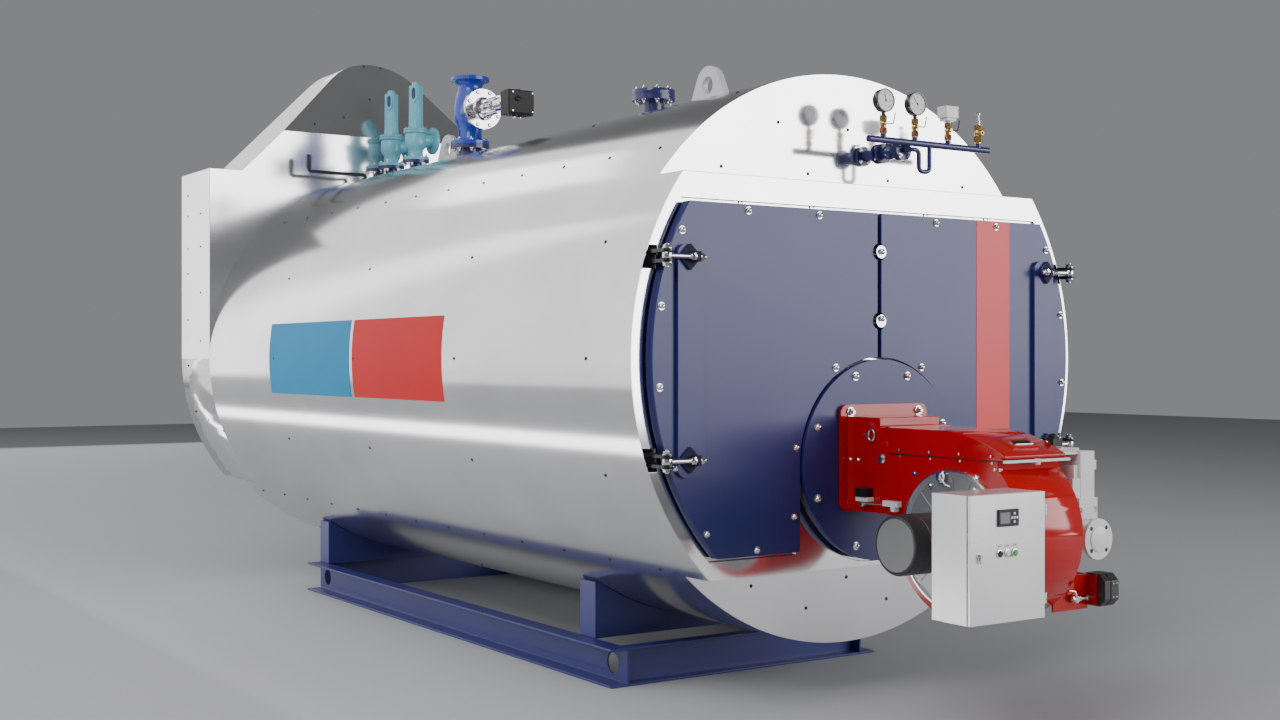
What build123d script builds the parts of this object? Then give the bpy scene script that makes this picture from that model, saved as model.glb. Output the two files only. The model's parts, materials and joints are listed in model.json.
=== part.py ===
from build123d import *
from math import asin, atan2, cos, radians, sin, sqrt, tan
import os

# Packaged three-pass steam boiler on a steel base, with hinged smokebox doors, a rear flue gas casing,
# top fittings, an instrument header and a gas burner. Millimetres. +X is to the right seen from the
# front, +Y runs to the rear and +Z up. The origin is on the floor, under the front cross beam.

# Driving dimensions: shell
shell_radius = 1275
shell_ground_gap = 245
jacket_thickness = 125
cladding_length = 5140
tail_length = 200
vessel_plate = 20
tube_plate_setback = 425
seat_gap = 0.3

# Driving dimensions: base frame
base_rear_overhang = 565
base_half_width = 718
beam_height = 180
beam_flange = 90
beam_web = 10
beam_flange_thickness = 12
lifting_hole_radius = 50
lifting_hole_inset = 125
cross_flange = 70
base_to_ring = 875
saddle_length = 140
saddle_plate = 12
front_saddle_inset = 280

# Driving dimensions: smokebox front
ring_width = 53
smokebox_depth = 170
upper_panel_height = 510
lower_panel_height = 360
fascia_thickness = 12
shelf_thickness = 10
panel_thickness = 4
seat_overlap = 90
mullion_half_width = 60

# Driving dimensions: doors
door_gap = 17
door_plate = 50
upper_band = 127
lower_band = 96
door_seam = 23
door_lining_depth = 60
door_lining_inset = 110
lining_seam_inset = 85
door_rib_inset = 139
door_rib_width = 128
door_rib_top_gap = 178
door_rib_bottom_gap = 339
door_rib_thickness = 18
door_rib_corner = 40
hinge_drop = 230
hinge_door_clearance = 6.16
hinge_pin_inset = 19.4
hinge_pin_setout = 100
hinge_pin_radius = 10
hinge_pin_length = 76
hinge_notch_height = 93
hinge_notch_depth = 76
clevis_gap = 27
clevis_plate = 14
clevis_radius = 24
clevis_width = 39
clevis_block = 16
eye_rod_radius = 10
eye_radius = 21
eye_thickness = 22
eye_lug_inset = 144
eye_lug_thickness = 18
eye_nut_thickness = 22
eye_nut_radius = 17
eye_rod_tip = 8
eye_lug_margin = 10
pin_clearance = 0.3
diamond_half = 53
diamond_inset = 129
diamond_thickness = 12
seam_stud_drop = 170
seam_stud_rise = 159
seam_disc_radius = 28
seam_disc_thickness = 12
seam_notch_clearance = 10

# Driving dimensions: burner mounting disc and furnace mouth
furnace_lift = 13.5
disc_foot_gap = 31
burner_disc_thickness = 38
burner_disc_face = 64
disc_door_gap = 10
furnace_mouth_inset = 40
furnace_mouth_wall = 70

# Driving dimensions: rear flue gas casing
casing_depth = 600
casing_shoulder_rise = 5
casing_shelf_width = 225
casing_crown_radius = 465
casing_floor_rise = 435
casing_wall = 60
hood_rise = 295
hood_lean = 22.5
flue_radius = 300
flue_length = 150
flue_wall = 6
flue_flange_radius = 360
flue_flange_thickness = 12
flue_drop = 380

# Driving dimensions: fittings on top of the shell
lug_length = 325
lug_height = 205
lug_thickness = 38
lug_hole_radius = 43
lug_hole_height = 105
front_lug_setback = 1205
rear_lug_inset = 1020
blind_setback = 1716
blind_flange_radius = 115
blind_pipe_radius = 57
blind_flange_thickness = 28
blind_height = 153
steam_inset = 1315
steam_flange_radius = 125
steam_flange_thickness = 26
steam_pipe_radius = 70
steam_bore_radius = 62.5
steam_bore_depth = 150
steam_nozzle_height = 101
steam_body_top = 538
steam_body_radius = 112
steam_body_height = 314
steam_bolt_circle_radius = 105
steam_bolt_count = 8
steam_bolt_radius = 9
bonnet_radius = 130
bonnet_thickness = 24
bonnet_setout = 162
yoke_arm_length = 222
yoke_length = 318
yoke_rod_radius = 18
yoke_rod_offset = 35
yoke_stem_radius = 8
actuator_neck_radius = 46
actuator_half_width = 42
actuator_length = 313
actuator_bottom = 230
actuator_top = 382
safety_insets = (510, 110)
safety_flange_radius = 92.5
safety_flange_thickness = 22
safety_pipe_radius = 42
safety_nozzle_height = 89
safety_body_radius = 74
safety_neck_radius = 48
safety_neck_top = 165
safety_body_base = 195
safety_body_top = 276
safety_bonnet_top = 306
safety_bonnet_flange_radius = 84
safety_column_radius = 47
safety_column_top = 600
safety_cap_radius = 28
safety_cap_top = 630
safety_lever_size = (58, 44, 86)
safety_outlet_height = 233
safety_outlet_reach = 139
safety_outlet_pipe_radius = 40
safety_outlet_bore = 32.5
safety_outlet_bore_depth = 90
vent_inset = 170
vent_drop = 5
vent_left = -640
vent_start = -225
vent_riser = 139
vent_radius = 12

# Driving dimensions: instrument header, with heights above the smokebox's upper shelf
header_radius = 15
header_left = -96
header_right = 638
header_height = 191
header_setout = 83
header_boss_radius = 13
header_boss_top = 26
siphon_radius = 10.5
siphon_left = 204
siphon_right = 268
siphon_bottom = 57
siphon_bend = 22
stub_x = 149
stub_height = 162
stub_pipe_radius = 24
stub_flange_radius = 45
stub_flange_thickness = 14
stub_front_flange = 32
stub_rear_flange = 127
stub_valve_radius = 34
gauge_xs = (-8, 180)
gauge_height = 363
gauge_radius = 52
gauge_depth = 40
gauge_stem_radius = 7
cock_radius = 11
cock_top = 285
cock_body_radius = 17
cock_body_height = 34
cock_body_base = 225
switch_x = 383
switch_size = (72, 65, 60)
switch_base = 305
drain_x = 574
drain_top = 325
drain_hex_radius = 22

# Driving dimensions: burner, with drops below the furnace's axis
burner_flange_width = 504
burner_flange_top = -246
burner_flange_bottom = 213
burner_flange_thickness = 14
burner_flange_corner = 40
burner_gasket_thickness = 6
housing_left = -217
housing_right = 128
head_length = 333
head_top = -157
head_bottom = 206
hood_split = -58
hood_front = 984
hood_curve_start = 640
hood_lip = 12
scroll_front = 950
fan_axis_y = 720
fan_axis_drop = 276
fan_radius = 344
fan_casing_setout = 8
fan_casing_rise = 28
air_disc_radius = 281
air_disc_thickness = 18
motor_radius = 118
motor_left = -535
cabinet_left = -625
cabinet_right = -240
cabinet_top = 46
cabinet_bottom = 511
cabinet_front = 1205
cabinet_back = 1071
cabinet_wall = 2
cabinet_door_thickness = 13
cabinet_door_gap = 5
cabinet_hinge_radius = 6
cabinet_pin_radius = 3
cabinet_hinge_setoff = 9
cabinet_hinge_drops = (116, 441)
cabinet_hinge_length = 40
cabinet_knuckle = 20
cabinet_knuckle_gap = 0.5
cabinet_hinge_leaf = 40
cabinet_bracket_drops = (136, 416)
cabinet_bracket_height = 30
cabinet_bracket_reach = 90
cabinet_bracket_plate = 8
cabinet_bracket_length = 88
gas_left = 262
gas_right = 346
gas_side_left = 217
gas_side_front = 900
gas_side_top = -15
gas_side_bottom = 156
gas_lower_left = 285
gas_lower_right = 371
gas_lower_front = 958
gas_lower_back = 860
gas_lower_top = 118
gas_duct_front = 930
gas_duct_back = 760
gas_duct_top = -95
gas_duct_bottom = -67
gas_front = 944
gas_back = 640
gas_top = -87
gas_bottom = 194
gas_flange_x = 280
gas_flange_drop = 274
gas_flange_face = 1020
gas_flange_radius = 82.5
gas_flange_thickness = 18
gas_bolt_circle_radius = 62.5
gas_bolt_count = 4
gas_bolt_radius = 9
gas_bore_radius = 26
gas_bore_depth = 60
gas_neck_radius = 45
gas_foot = 331
gas_pipe_radius = 30
gas_entry_setout = 200
gas_entry_drop = 56
servo_left = 341
servo_right = 425
servo_top = 423
servo_bottom = 554
servo_front = 1000
servo_back = 900
servo_chamfer = 28
servo_plate_thickness = 10
servo_plate_top = 426
servo_plate_bottom = 549
servo_plate_front = 963
servo_plate_back = 777
servo_cross_front = 920
servo_cross_bottom = 566

# Derived places
axis_height = shell_radius + shell_ground_gap
base_front = -cross_flange / 2
ring_y = base_front - base_to_ring
cladding_end = ring_y + cladding_length
shell_end = cladding_end + tail_length
casing_back = cladding_end + casing_depth
vessel_radius = shell_radius - jacket_thickness
opening_radius = shell_radius - ring_width
door_radius = opening_radius - door_gap
door_back = ring_y
door_front = ring_y - door_plate
tube_plate_y = ring_y + tube_plate_setback
seat_y = ring_y + fascia_thickness
hinge_y = ring_y - hinge_pin_setout
crown_z = axis_height + shell_radius
base_length = cladding_end - base_rear_overhang - base_front
saddle_ys = (base_front + front_saddle_inset, base_front + base_length - saddle_length)
smokebox_top = shell_radius - upper_panel_height
smokebox_bottom = shell_radius - lower_panel_height
shelf_z = axis_height + smokebox_top
door_top = smokebox_top - upper_band
door_bottom = smokebox_bottom - lower_band
furnace_drop = smokebox_bottom / 2 - furnace_lift
burner_disc_radius = smokebox_bottom - furnace_drop - disc_foot_gap
furnace_mouth_radius = burner_disc_radius - furnace_mouth_inset
furnace_z = axis_height - furnace_drop
casing_bottom = shell_radius - casing_floor_rise
casing_shoulder = shell_radius + casing_shoulder_rise
casing_apex = casing_shoulder + shell_radius - casing_shelf_width
hood_base = casing_shoulder + hood_rise
flue_height = casing_shoulder - flue_drop
rear_lug_setback = cladding_length - rear_lug_inset
steam_setback = cladding_length - steam_inset
safety_setbacks = [cladding_length - inset for inset in safety_insets]
vent_setback = cladding_length - vent_inset
vent_height = shell_radius - vent_drop
vent_top = vent_height + vent_riser


def front_plane(x, y, z):
    """Sketch plane that faces the front, with its origin at the given point."""
    return Plane((x, y, z), x_dir=(1, 0, 0), z_dir=(0, -1, 0))


def facing(y):
    """Sketch plane that faces the front at depth y, with its origin on the shell's axis."""
    return front_plane(0, y, axis_height)


def burner_facing(y):
    """Sketch plane that faces the front at depth y, with its origin on the furnace's axis."""
    return front_plane(0, y, furnace_z)


def level(x, y, z):
    """Horizontal sketch plane with its origin at the given point."""
    return Plane((x, y, z), x_dir=(1, 0, 0), z_dir=(0, 0, 1))


def sideways(x, y, z):
    """Sketch plane that faces +X, with local x to the rear and local y up."""
    return Plane((x, y, z), x_dir=(0, 1, 0), z_dir=(1, 0, 0))


def chord(radius, height):
    """Half the width of a circle at a height above its centre."""
    return sqrt(radius**2 - height**2)


def save(part, name):
    """Label a finished piece and write its file."""
    part.label = name
    export_step(part, f"parts/{name}.step")


# Places of the doors' hinges, clear of the doors' round edges, and of the seam's studs
hinge_height = door_top - hinge_drop
hinge_arm_foot = hinge_height - clevis_gap / 2 - clevis_plate
hinge_notch_x = chord(door_radius, hinge_arm_foot) + hinge_door_clearance
hinge_pin_x = hinge_notch_x + hinge_pin_inset
clevis_outer_x = hinge_notch_x + clevis_width
eye_lug_x = hinge_pin_x - eye_lug_inset
door_rib_x = hinge_pin_x - door_rib_inset
diamond_x = hinge_pin_x - diamond_inset
door_rib_top = door_top - door_rib_top_gap
door_rib_bottom = door_bottom - door_rib_bottom_gap
disc_cut_top = burner_disc_radius + disc_door_gap - furnace_drop
seam_stud_heights = (door_top - seam_stud_drop, disc_cut_top + seam_stud_rise)

os.makedirs("parts", exist_ok=True)
sides = {"left": -1, "right": 1}

# Base frame: two channels along the boiler, flanges outward, with lifting holes in their webs
flange_heights = (beam_flange_thickness / 2, beam_height - beam_flange_thickness / 2)
with BuildPart() as long_beams:
    with BuildSketch(Plane.XZ.offset(-base_front)):
        for side in sides.values():
            with Locations((side * (base_half_width - beam_web / 2), beam_height / 2)):
                Rectangle(beam_web, beam_height)
            for height in flange_heights:
                with Locations((side * (base_half_width + beam_flange / 2 - beam_web / 2), height)):
                    Rectangle(beam_flange + beam_web, beam_flange_thickness)
    extrude(amount=-base_length)
    with BuildSketch(sideways(-shell_radius, base_front, beam_height / 2)):
        with Locations((lifting_hole_inset, 0), (base_length - lifting_hole_inset, 0)):
            Circle(lifting_hole_radius)
    extrude(amount=2 * shell_radius, mode=Mode.SUBTRACT)
save(long_beams.part, "long_beams")

# Cross beams: channels between the long beams, flanges outward
cross_half = base_half_width - beam_web
with BuildPart() as cross_beams:
    for y, turn in ((base_front, 1), (base_front + base_length, -1)):
        with BuildSketch(sideways(-cross_half, y, 0)):
            with Locations((turn * (cross_flange - beam_web / 2), beam_height / 2)):
                Rectangle(beam_web, beam_height)
            for height in flange_heights:
                with Locations((turn * cross_flange / 2, height)):
                    Rectangle(cross_flange, beam_flange_thickness)
        extrude(amount=2 * cross_half)
save(cross_beams.part, "cross_beams")

# Saddles: two webs cut to the shell, closed by side plates and capped by a bearing plate
bearing_outer = shell_radius + seat_gap + saddle_plate
with BuildPart() as saddles:
    for saddle_y in saddle_ys:
        with BuildSketch(facing(saddle_y)):
            with Locations((0, beam_height - axis_height)):
                Rectangle(2 * base_half_width, axis_height, align=(Align.CENTER, Align.MIN))
            Circle(shell_radius + seat_gap, mode=Mode.SUBTRACT)
            Rectangle(4 * shell_radius, 2 * chord(bearing_outer, base_half_width), mode=Mode.SUBTRACT)
        extrude(amount=-saddle_length)
        with BuildSketch(facing(saddle_y + saddle_plate)):
            with Locations((0, beam_height - axis_height)):
                Rectangle(2 * (base_half_width - saddle_plate), axis_height,
                          align=(Align.CENTER, Align.MIN))
            Circle(bearing_outer, mode=Mode.SUBTRACT)
            Rectangle(4 * shell_radius, 2 * chord(bearing_outer, base_half_width - saddle_plate),
                      mode=Mode.SUBTRACT)
        extrude(amount=-(saddle_length - 2 * saddle_plate), mode=Mode.SUBTRACT)
save(saddles.part, "saddles")

# Pressure vessel: shell tube between the front tube plate and the rear end plate
with BuildPart() as vessel:
    with BuildSketch(facing(tube_plate_y + vessel_plate)):
        Circle(vessel_radius - seat_gap)
        Circle(vessel_radius - seat_gap - vessel_plate, mode=Mode.SUBTRACT)
    extrude(amount=-(shell_end - tube_plate_y - 2 * vessel_plate))
save(vessel.part, "pressure_vessel")
for name, y in (("tube_plate", tube_plate_y), ("rear_end_plate", shell_end - vessel_plate)):
    with BuildPart() as end_plate:
        with BuildSketch(facing(y)):
            Circle(vessel_radius - seat_gap)
        extrude(amount=-vessel_plate)
    save(end_plate.part, name)

# Insulated cladding round the vessel, whose lower part runs on under the rear casing
with BuildPart() as cladding:
    with BuildSketch(facing(ring_y + smokebox_depth + panel_thickness)):
        Circle(shell_radius)
        Circle(vessel_radius, mode=Mode.SUBTRACT)
    extrude(amount=-(cladding_length - smokebox_depth - panel_thickness))
    with BuildSketch(facing(cladding_end)):
        Circle(shell_radius)
        Circle(vessel_radius, mode=Mode.SUBTRACT)
        with Locations((0, -casing_bottom)):
            Rectangle(2 * shell_radius, 2 * shell_radius + casing_bottom, align=(Align.CENTER, Align.MIN),
                      mode=Mode.SUBTRACT)
    extrude(amount=-tail_length)
save(cladding.part, "cladding")

# Front panels that close the cladding above and below the smokebox
for name, cut, side in (("upper_front_panel", smokebox_top, 1), ("lower_front_panel", smokebox_bottom, -1)):
    with BuildPart() as front_panel:
        with BuildSketch(facing(ring_y + smokebox_depth)):
            Circle(shell_radius)
            with Locations((0, side * cut)):
                Rectangle(2 * shell_radius, 4 * shell_radius,
                          align=(Align.CENTER, Align.MAX if side > 0 else Align.MIN), mode=Mode.SUBTRACT)
        extrude(amount=-panel_thickness)
    save(front_panel.part, name)


def smokebox_outline(radius, top, bottom):
    """Circle cut off level at the top and bottom."""
    Circle(radius)
    for cut, align in ((top, Align.MIN), (-bottom, Align.MAX)):
        with Locations((0, cut)):
            Rectangle(2 * radius, 2 * radius, align=(Align.CENTER, align), mode=Mode.SUBTRACT)


def door_outline(side, grow, seam):
    """One door's outline, grown or shrunk, with the cut round the burner disc."""
    cut = burner_disc_radius + disc_door_gap - grow
    smokebox_outline(door_radius + grow, door_top + grow, door_bottom + grow)
    with Locations((side * (seam - shell_radius), 0)):
        Rectangle(2 * shell_radius, 4 * shell_radius, mode=Mode.SUBTRACT)
    with Locations((0, -furnace_drop)):
        Circle(cut, mode=Mode.SUBTRACT)
        Rectangle(2 * cut, shell_radius, align=(Align.CENTER, Align.MAX), mode=Mode.SUBTRACT)


def hinge_notches():
    """Cut the notches in the outer rim that the hinge brackets fill."""
    notch_width = shell_radius - hinge_notch_x
    with BuildSketch(facing(ring_y)) as notches:
        for side in sides.values():
            for height in (hinge_height, -hinge_height):
                with Locations((side * (hinge_notch_x + notch_width / 2), height)):
                    Rectangle(notch_width, hinge_notch_height)
    extrude(notches.sketch, amount=-hinge_notch_depth, mode=Mode.SUBTRACT)


# Door frame: ring and bands round the doors, with a rebate behind each door and a mullion at the seam
with BuildPart() as door_frame:
    with BuildSketch(facing(ring_y)):
        smokebox_outline(shell_radius, smokebox_top, smokebox_bottom)
        with Locations((0, -furnace_drop)):
            Circle(furnace_mouth_radius + seat_gap, mode=Mode.SUBTRACT)
    extrude(amount=-2 * fascia_thickness)
    for side in sides.values():
        with BuildSketch(facing(ring_y)):
            door_outline(side, -seat_overlap, mullion_half_width)
        extrude(amount=-2 * fascia_thickness, mode=Mode.SUBTRACT)
        with BuildSketch(facing(ring_y)):
            door_outline(side, door_gap, 0)
        extrude(amount=-fascia_thickness, mode=Mode.SUBTRACT)
    with BuildSketch(facing(ring_y)):
        with Locations((0, -furnace_drop)):
            Circle(burner_disc_radius + disc_door_gap)
    extrude(amount=-fascia_thickness, mode=Mode.SUBTRACT)
    hinge_notches()
save(door_frame.part, "door_frame")

# Smokebox wall: the rounded sides and the two shelves between the door frame and the cladding
wall_depth = smokebox_depth - 2 * fascia_thickness
with BuildPart() as smokebox_wall:
    with BuildSketch(facing(ring_y + 2 * fascia_thickness)):
        smokebox_outline(shell_radius, smokebox_top, smokebox_bottom)
    extrude(amount=-wall_depth)
    with BuildSketch(facing(ring_y + 2 * fascia_thickness)):
        smokebox_outline(vessel_radius, smokebox_top - shelf_thickness, smokebox_bottom - shelf_thickness)
    extrude(amount=-wall_depth, mode=Mode.SUBTRACT)
    hinge_notches()
save(smokebox_wall.part, "smokebox_wall")

# Seam clamps: studs on the mullion whose discs stand in half-round notches of the doors
with BuildPart() as seam_clamps:
    with BuildSketch(facing(seat_y)):
        with Locations(*[(0, height) for height in seam_stud_heights]):
            Circle(seam_disc_radius / 2)
    extrude(amount=fascia_thickness + door_plate)
    with BuildSketch(facing(door_front)):
        with Locations(*[(0, height) for height in seam_stud_heights]):
            Circle(seam_disc_radius)
    extrude(amount=seam_disc_thickness)
save(seam_clamps.part, "seam_clamps")

# Doors: thick plates with a raised hinge rib, a lining block and two lugs for the eye bolts
rib_front = door_front - door_rib_thickness
lug_back = rib_front - diamond_thickness
lug_reach = lug_back - hinge_y + eye_rod_radius + eye_lug_margin
hinge_zs = (axis_height + hinge_height, axis_height - hinge_height)
for name, side in sides.items():
    with BuildPart() as door:
        with BuildSketch(facing(door_back)):
            door_outline(side, 0, door_seam / 2)
            with Locations(*[(0, height) for height in seam_stud_heights]):
                Circle(seam_disc_radius + seam_notch_clearance, mode=Mode.SUBTRACT)
        extrude(amount=door_plate)
        with BuildSketch(facing(door_front)):
            with Locations((side * door_rib_x, (door_rib_top - door_rib_bottom) / 2)):
                RectangleRounded(door_rib_width, door_rib_top + door_rib_bottom, door_rib_corner)
        extrude(amount=door_rib_thickness)
        with BuildSketch(facing(rib_front)):
            with Locations((side * diamond_x, hinge_height), (side * diamond_x, -hinge_height)):
                Rectangle(diamond_half * sqrt(2), diamond_half * sqrt(2), rotation=45)
        extrude(amount=diamond_thickness)
        for z in hinge_zs:
            with BuildSketch(sideways(side * eye_lug_x - eye_lug_thickness / 2, lug_back, z)):
                Rectangle(lug_reach, 2 * (eye_rod_radius + eye_lug_margin), align=(Align.MAX, Align.CENTER))
                with Locations((hinge_y - lug_back, 0)):
                    Circle(eye_rod_radius + pin_clearance, mode=Mode.SUBTRACT)
            extrude(amount=eye_lug_thickness)
    save(door.part, f"{name}_door")

    with BuildPart() as lining:
        with BuildSketch(facing(door_back)):
            door_outline(side, -door_lining_inset, lining_seam_inset)
        extrude(amount=-door_lining_depth)
    save(lining.part, f"{name}_door_lining")

    rod_end = eye_lug_x - eye_lug_thickness / 2 - eye_nut_thickness - eye_rod_tip
    with BuildPart() as eye_bolts:
        for z in hinge_zs:
            with BuildSketch(sideways(side * hinge_pin_x, hinge_y, z)):
                Circle(eye_rod_radius)
            extrude(amount=-side * (hinge_pin_x - rod_end))
            for face in (eye_lug_x + eye_lug_thickness / 2,
                         eye_lug_x - eye_lug_thickness / 2 - eye_nut_thickness):
                with BuildSketch(sideways(side * face, hinge_y, z)):
                    RegularPolygon(eye_nut_radius, 6)
                extrude(amount=side * eye_nut_thickness)
            with BuildSketch(level(side * hinge_pin_x, hinge_y, z - eye_thickness / 2)):
                Circle(eye_radius)
            extrude(amount=eye_thickness)
            with BuildSketch(level(side * hinge_pin_x, hinge_y, z - eye_thickness / 2)):
                Circle(hinge_pin_radius + pin_clearance)
            extrude(amount=eye_thickness, mode=Mode.SUBTRACT)
    save(eye_bolts.part, f"{name}_eye_bolts")

# Hinge brackets: pairs of arms that reach out of the rim's notches, with the pins between them
arm_width = clevis_outer_x - hinge_notch_x
with BuildPart() as brackets:
    for side in sides.values():
        arm_x = side * (hinge_notch_x + arm_width / 2)
        for z in hinge_zs:
            for base in (z - clevis_gap / 2 - clevis_plate, z + clevis_gap / 2):
                with BuildSketch(level(0, 0, base)):
                    with Locations((arm_x, hinge_y)):
                        Rectangle(arm_width, hinge_pin_setout + hinge_notch_depth,
                                  align=(Align.CENTER, Align.MIN))
                    with Locations((side * hinge_pin_x, hinge_y)):
                        Circle(clevis_radius)
                extrude(amount=clevis_plate)
            with BuildSketch(level(arm_x, ring_y + hinge_notch_depth, z - hinge_notch_height / 2)):
                Rectangle(arm_width, clevis_block, align=(Align.CENTER, Align.MAX))
            extrude(amount=hinge_notch_height)
            with BuildSketch(level(side * hinge_pin_x, hinge_y, z - hinge_pin_length / 2)):
                Circle(hinge_pin_radius)
            extrude(amount=hinge_pin_length)
save(brackets.part, "hinge_brackets")

# Furnace mouth and the disc that carries the burner
disc_back = ring_y - burner_disc_face + burner_disc_thickness
with BuildPart() as furnace_mouth:
    with BuildSketch(facing(disc_back)):
        with Locations((0, -furnace_drop)):
            Circle(furnace_mouth_radius)
            Circle(furnace_mouth_radius - furnace_mouth_wall, mode=Mode.SUBTRACT)
    extrude(amount=-(tube_plate_y - disc_back))
save(furnace_mouth.part, "furnace_mouth")
with BuildPart() as burner_disc:
    with BuildSketch(facing(disc_back)):
        with Locations((0, -furnace_drop)):
            Circle(burner_disc_radius)
    extrude(amount=burner_disc_thickness)
save(burner_disc.part, "burner_disc")


def casing_block(inset):
    """The rear casing's body, or its cavity when inset by the wall: flat sides, shoulder and crown."""
    half = shell_radius - inset
    bottom = casing_bottom - inset
    shoulder = casing_shoulder - inset
    apex = casing_apex - inset * sqrt(2)
    tangent = (casing_crown_radius - inset) / sqrt(2)
    crown = casing_apex - casing_crown_radius * sqrt(2) + casing_crown_radius - inset
    edge = chord(half, bottom)
    front = cladding_end + inset
    lean = (casing_apex - hood_base) * tan(radians(hood_lean))
    with BuildPart() as block:
        with BuildSketch(facing(front)):
            with BuildLine():
                Line((-edge, -bottom), (edge, -bottom))
                for side in sides.values():
                    ThreePointArc((side * edge, -bottom), (side * chord(half, bottom / 2), -bottom / 2),
                                  (side * half, 0))
                    Polyline((side * half, 0), (side * half, shoulder), (side * (apex - shoulder), shoulder),
                             (side * tangent, apex - tangent))
                ThreePointArc((tangent, apex - tangent), (0, crown), (-tangent, apex - tangent))
            make_face()
        extrude(amount=-(casing_depth - 2 * inset))
        with BuildSketch(sideways(-shell_radius, front, axis_height + hood_base)):
            with BuildLine():
                Polyline((0, 0), (lean, casing_apex - hood_base), (-lean, casing_apex - hood_base),
                         (-lean, 0), close=True)
            make_face()
        extrude(amount=2 * shell_radius, mode=Mode.SUBTRACT)
    return block.part


# Rear flue gas casing in two pieces: the lower one takes the shell's end, the hood leans back
break_plane = Plane((0, 0, axis_height + hood_base))
with BuildPart() as rear_casing:
    add(casing_block(0))
    add(casing_block(casing_wall), mode=Mode.SUBTRACT)
    with BuildSketch(facing(cladding_end)):
        Circle(vessel_radius)
    extrude(amount=-tail_length, mode=Mode.SUBTRACT)
    with BuildSketch(facing(casing_back - casing_wall)):
        with Locations((0, flue_height)):
            Circle(flue_radius - flue_wall)
    extrude(amount=-casing_wall, mode=Mode.SUBTRACT)
    split(bisect_by=break_plane, keep=Keep.BOTTOM)
save(rear_casing.part, "rear_casing")
with BuildPart() as rear_hood:
    add(casing_block(0))
    add(casing_block(casing_wall), mode=Mode.SUBTRACT)
    split(bisect_by=break_plane, keep=Keep.TOP)
save(rear_hood.part, "rear_hood")

# Flue outlet collar on the casing's back
with BuildPart() as flue_collar:
    with BuildSketch(facing(casing_back)):
        with Locations((0, flue_height)):
            Circle(flue_radius)
            Circle(flue_radius - flue_wall, mode=Mode.SUBTRACT)
    extrude(amount=-flue_length)
    with BuildSketch(facing(casing_back + flue_length - flue_flange_thickness)):
        with Locations((0, flue_height)):
            Circle(flue_flange_radius)
            Circle(flue_radius - flue_wall, mode=Mode.SUBTRACT)
    extrude(amount=-flue_flange_thickness)
save(flue_collar.part, "flue_collar")

# Lifting lugs on the crown line: a tapered plate whose rounded top is concentric with its hole
lug_round = lug_height - lug_hole_height
taper = atan2(lug_hole_height, lug_length / 2) + asin(lug_round / sqrt((lug_length / 2) ** 2 + lug_hole_height**2))
touch_x = lug_round * sin(taper)
touch_z = lug_hole_height + lug_round * cos(taper)
with BuildPart() as lugs:
    for setback in (front_lug_setback, rear_lug_setback):
        with BuildSketch(sideways(-lug_thickness / 2, ring_y + setback, crown_z + seat_gap)):
            with BuildLine():
                Polyline((-touch_x, touch_z), (-lug_length / 2, 0), (lug_length / 2, 0), (touch_x, touch_z))
                ThreePointArc((touch_x, touch_z), (0, lug_height), (-touch_x, touch_z))
            make_face()
            with Locations((0, lug_hole_height)):
                Circle(lug_hole_radius, mode=Mode.SUBTRACT)
        extrude(amount=lug_thickness)
save(lugs.part, "lifting_lugs")


def nozzle(setback, pipe_radius, flange_radius, flange_thickness, height):
    """Pipe that stands on the shell's crown line and carries a flange at the top."""
    y = ring_y + setback
    foot = shell_radius - chord(shell_radius, pipe_radius) + 1
    with BuildSketch(level(0, y, crown_z - foot)) as pipe:
        Circle(pipe_radius)
    extrude(pipe.sketch, amount=foot + height)
    with BuildSketch(level(0, y, crown_z + height - flange_thickness)) as flange:
        Circle(flange_radius)
    extrude(flange.sketch, amount=flange_thickness)
    with BuildSketch(facing(y - pipe_radius - 1)) as shell:
        Circle(shell_radius + seat_gap)
    extrude(shell.sketch, amount=-2 * (pipe_radius + 1), mode=Mode.SUBTRACT)


# Nozzles on the crown line, and the cover of the blanked one
with BuildPart() as crown_nozzles:
    nozzle(blind_setback, blind_pipe_radius, blind_flange_radius, blind_flange_thickness,
           blind_height - blind_flange_thickness)
    nozzle(steam_setback, steam_pipe_radius, steam_flange_radius, steam_flange_thickness, steam_nozzle_height)
    for setback in safety_setbacks:
        nozzle(setback, safety_pipe_radius, safety_flange_radius, safety_flange_thickness,
               safety_nozzle_height)
save(crown_nozzles.part, "crown_nozzles")
with BuildPart() as blind_cover:
    with BuildSketch(level(0, ring_y + blind_setback, crown_z + blind_height - blind_flange_thickness)):
        Circle(blind_flange_radius)
    extrude(amount=blind_flange_thickness)
save(blind_cover.part, "blind_cover")

# Steam outlet: valve body with two flanges, bonnet with yoke, and actuator
steam_y = ring_y + steam_setback
bonnet_height = crown_z + steam_body_height
with BuildPart() as steam_valve:
    with BuildSketch(level(0, steam_y, crown_z + steam_nozzle_height)):
        Circle(steam_pipe_radius + 8)
    extrude(amount=steam_body_top - steam_nozzle_height)
    for base in (steam_nozzle_height, steam_body_top - steam_flange_thickness):
        with BuildSketch(level(0, steam_y, crown_z + base)):
            Circle(steam_flange_radius)
        extrude(amount=steam_flange_thickness)
    with Locations((0, steam_y, bonnet_height)):
        Sphere(steam_body_radius)
    with BuildSketch(front_plane(0, steam_y - bonnet_setout, bonnet_height)):
        Circle(steam_pipe_radius + 16)
    extrude(amount=-bonnet_setout)
    with BuildSketch(level(0, steam_y, crown_z + steam_body_top - steam_bore_depth)):
        Circle(steam_bore_radius)
    extrude(amount=steam_bore_depth, mode=Mode.SUBTRACT)
    with BuildSketch(level(0, steam_y, crown_z + steam_body_top - steam_flange_thickness)):
        with PolarLocations(steam_bolt_circle_radius, steam_bolt_count, start_angle=22.5):
            Circle(steam_bolt_radius)
    extrude(amount=steam_flange_thickness, mode=Mode.SUBTRACT)
save(steam_valve.part, "steam_valve_body")
bonnet_back = steam_y - bonnet_setout
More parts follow.
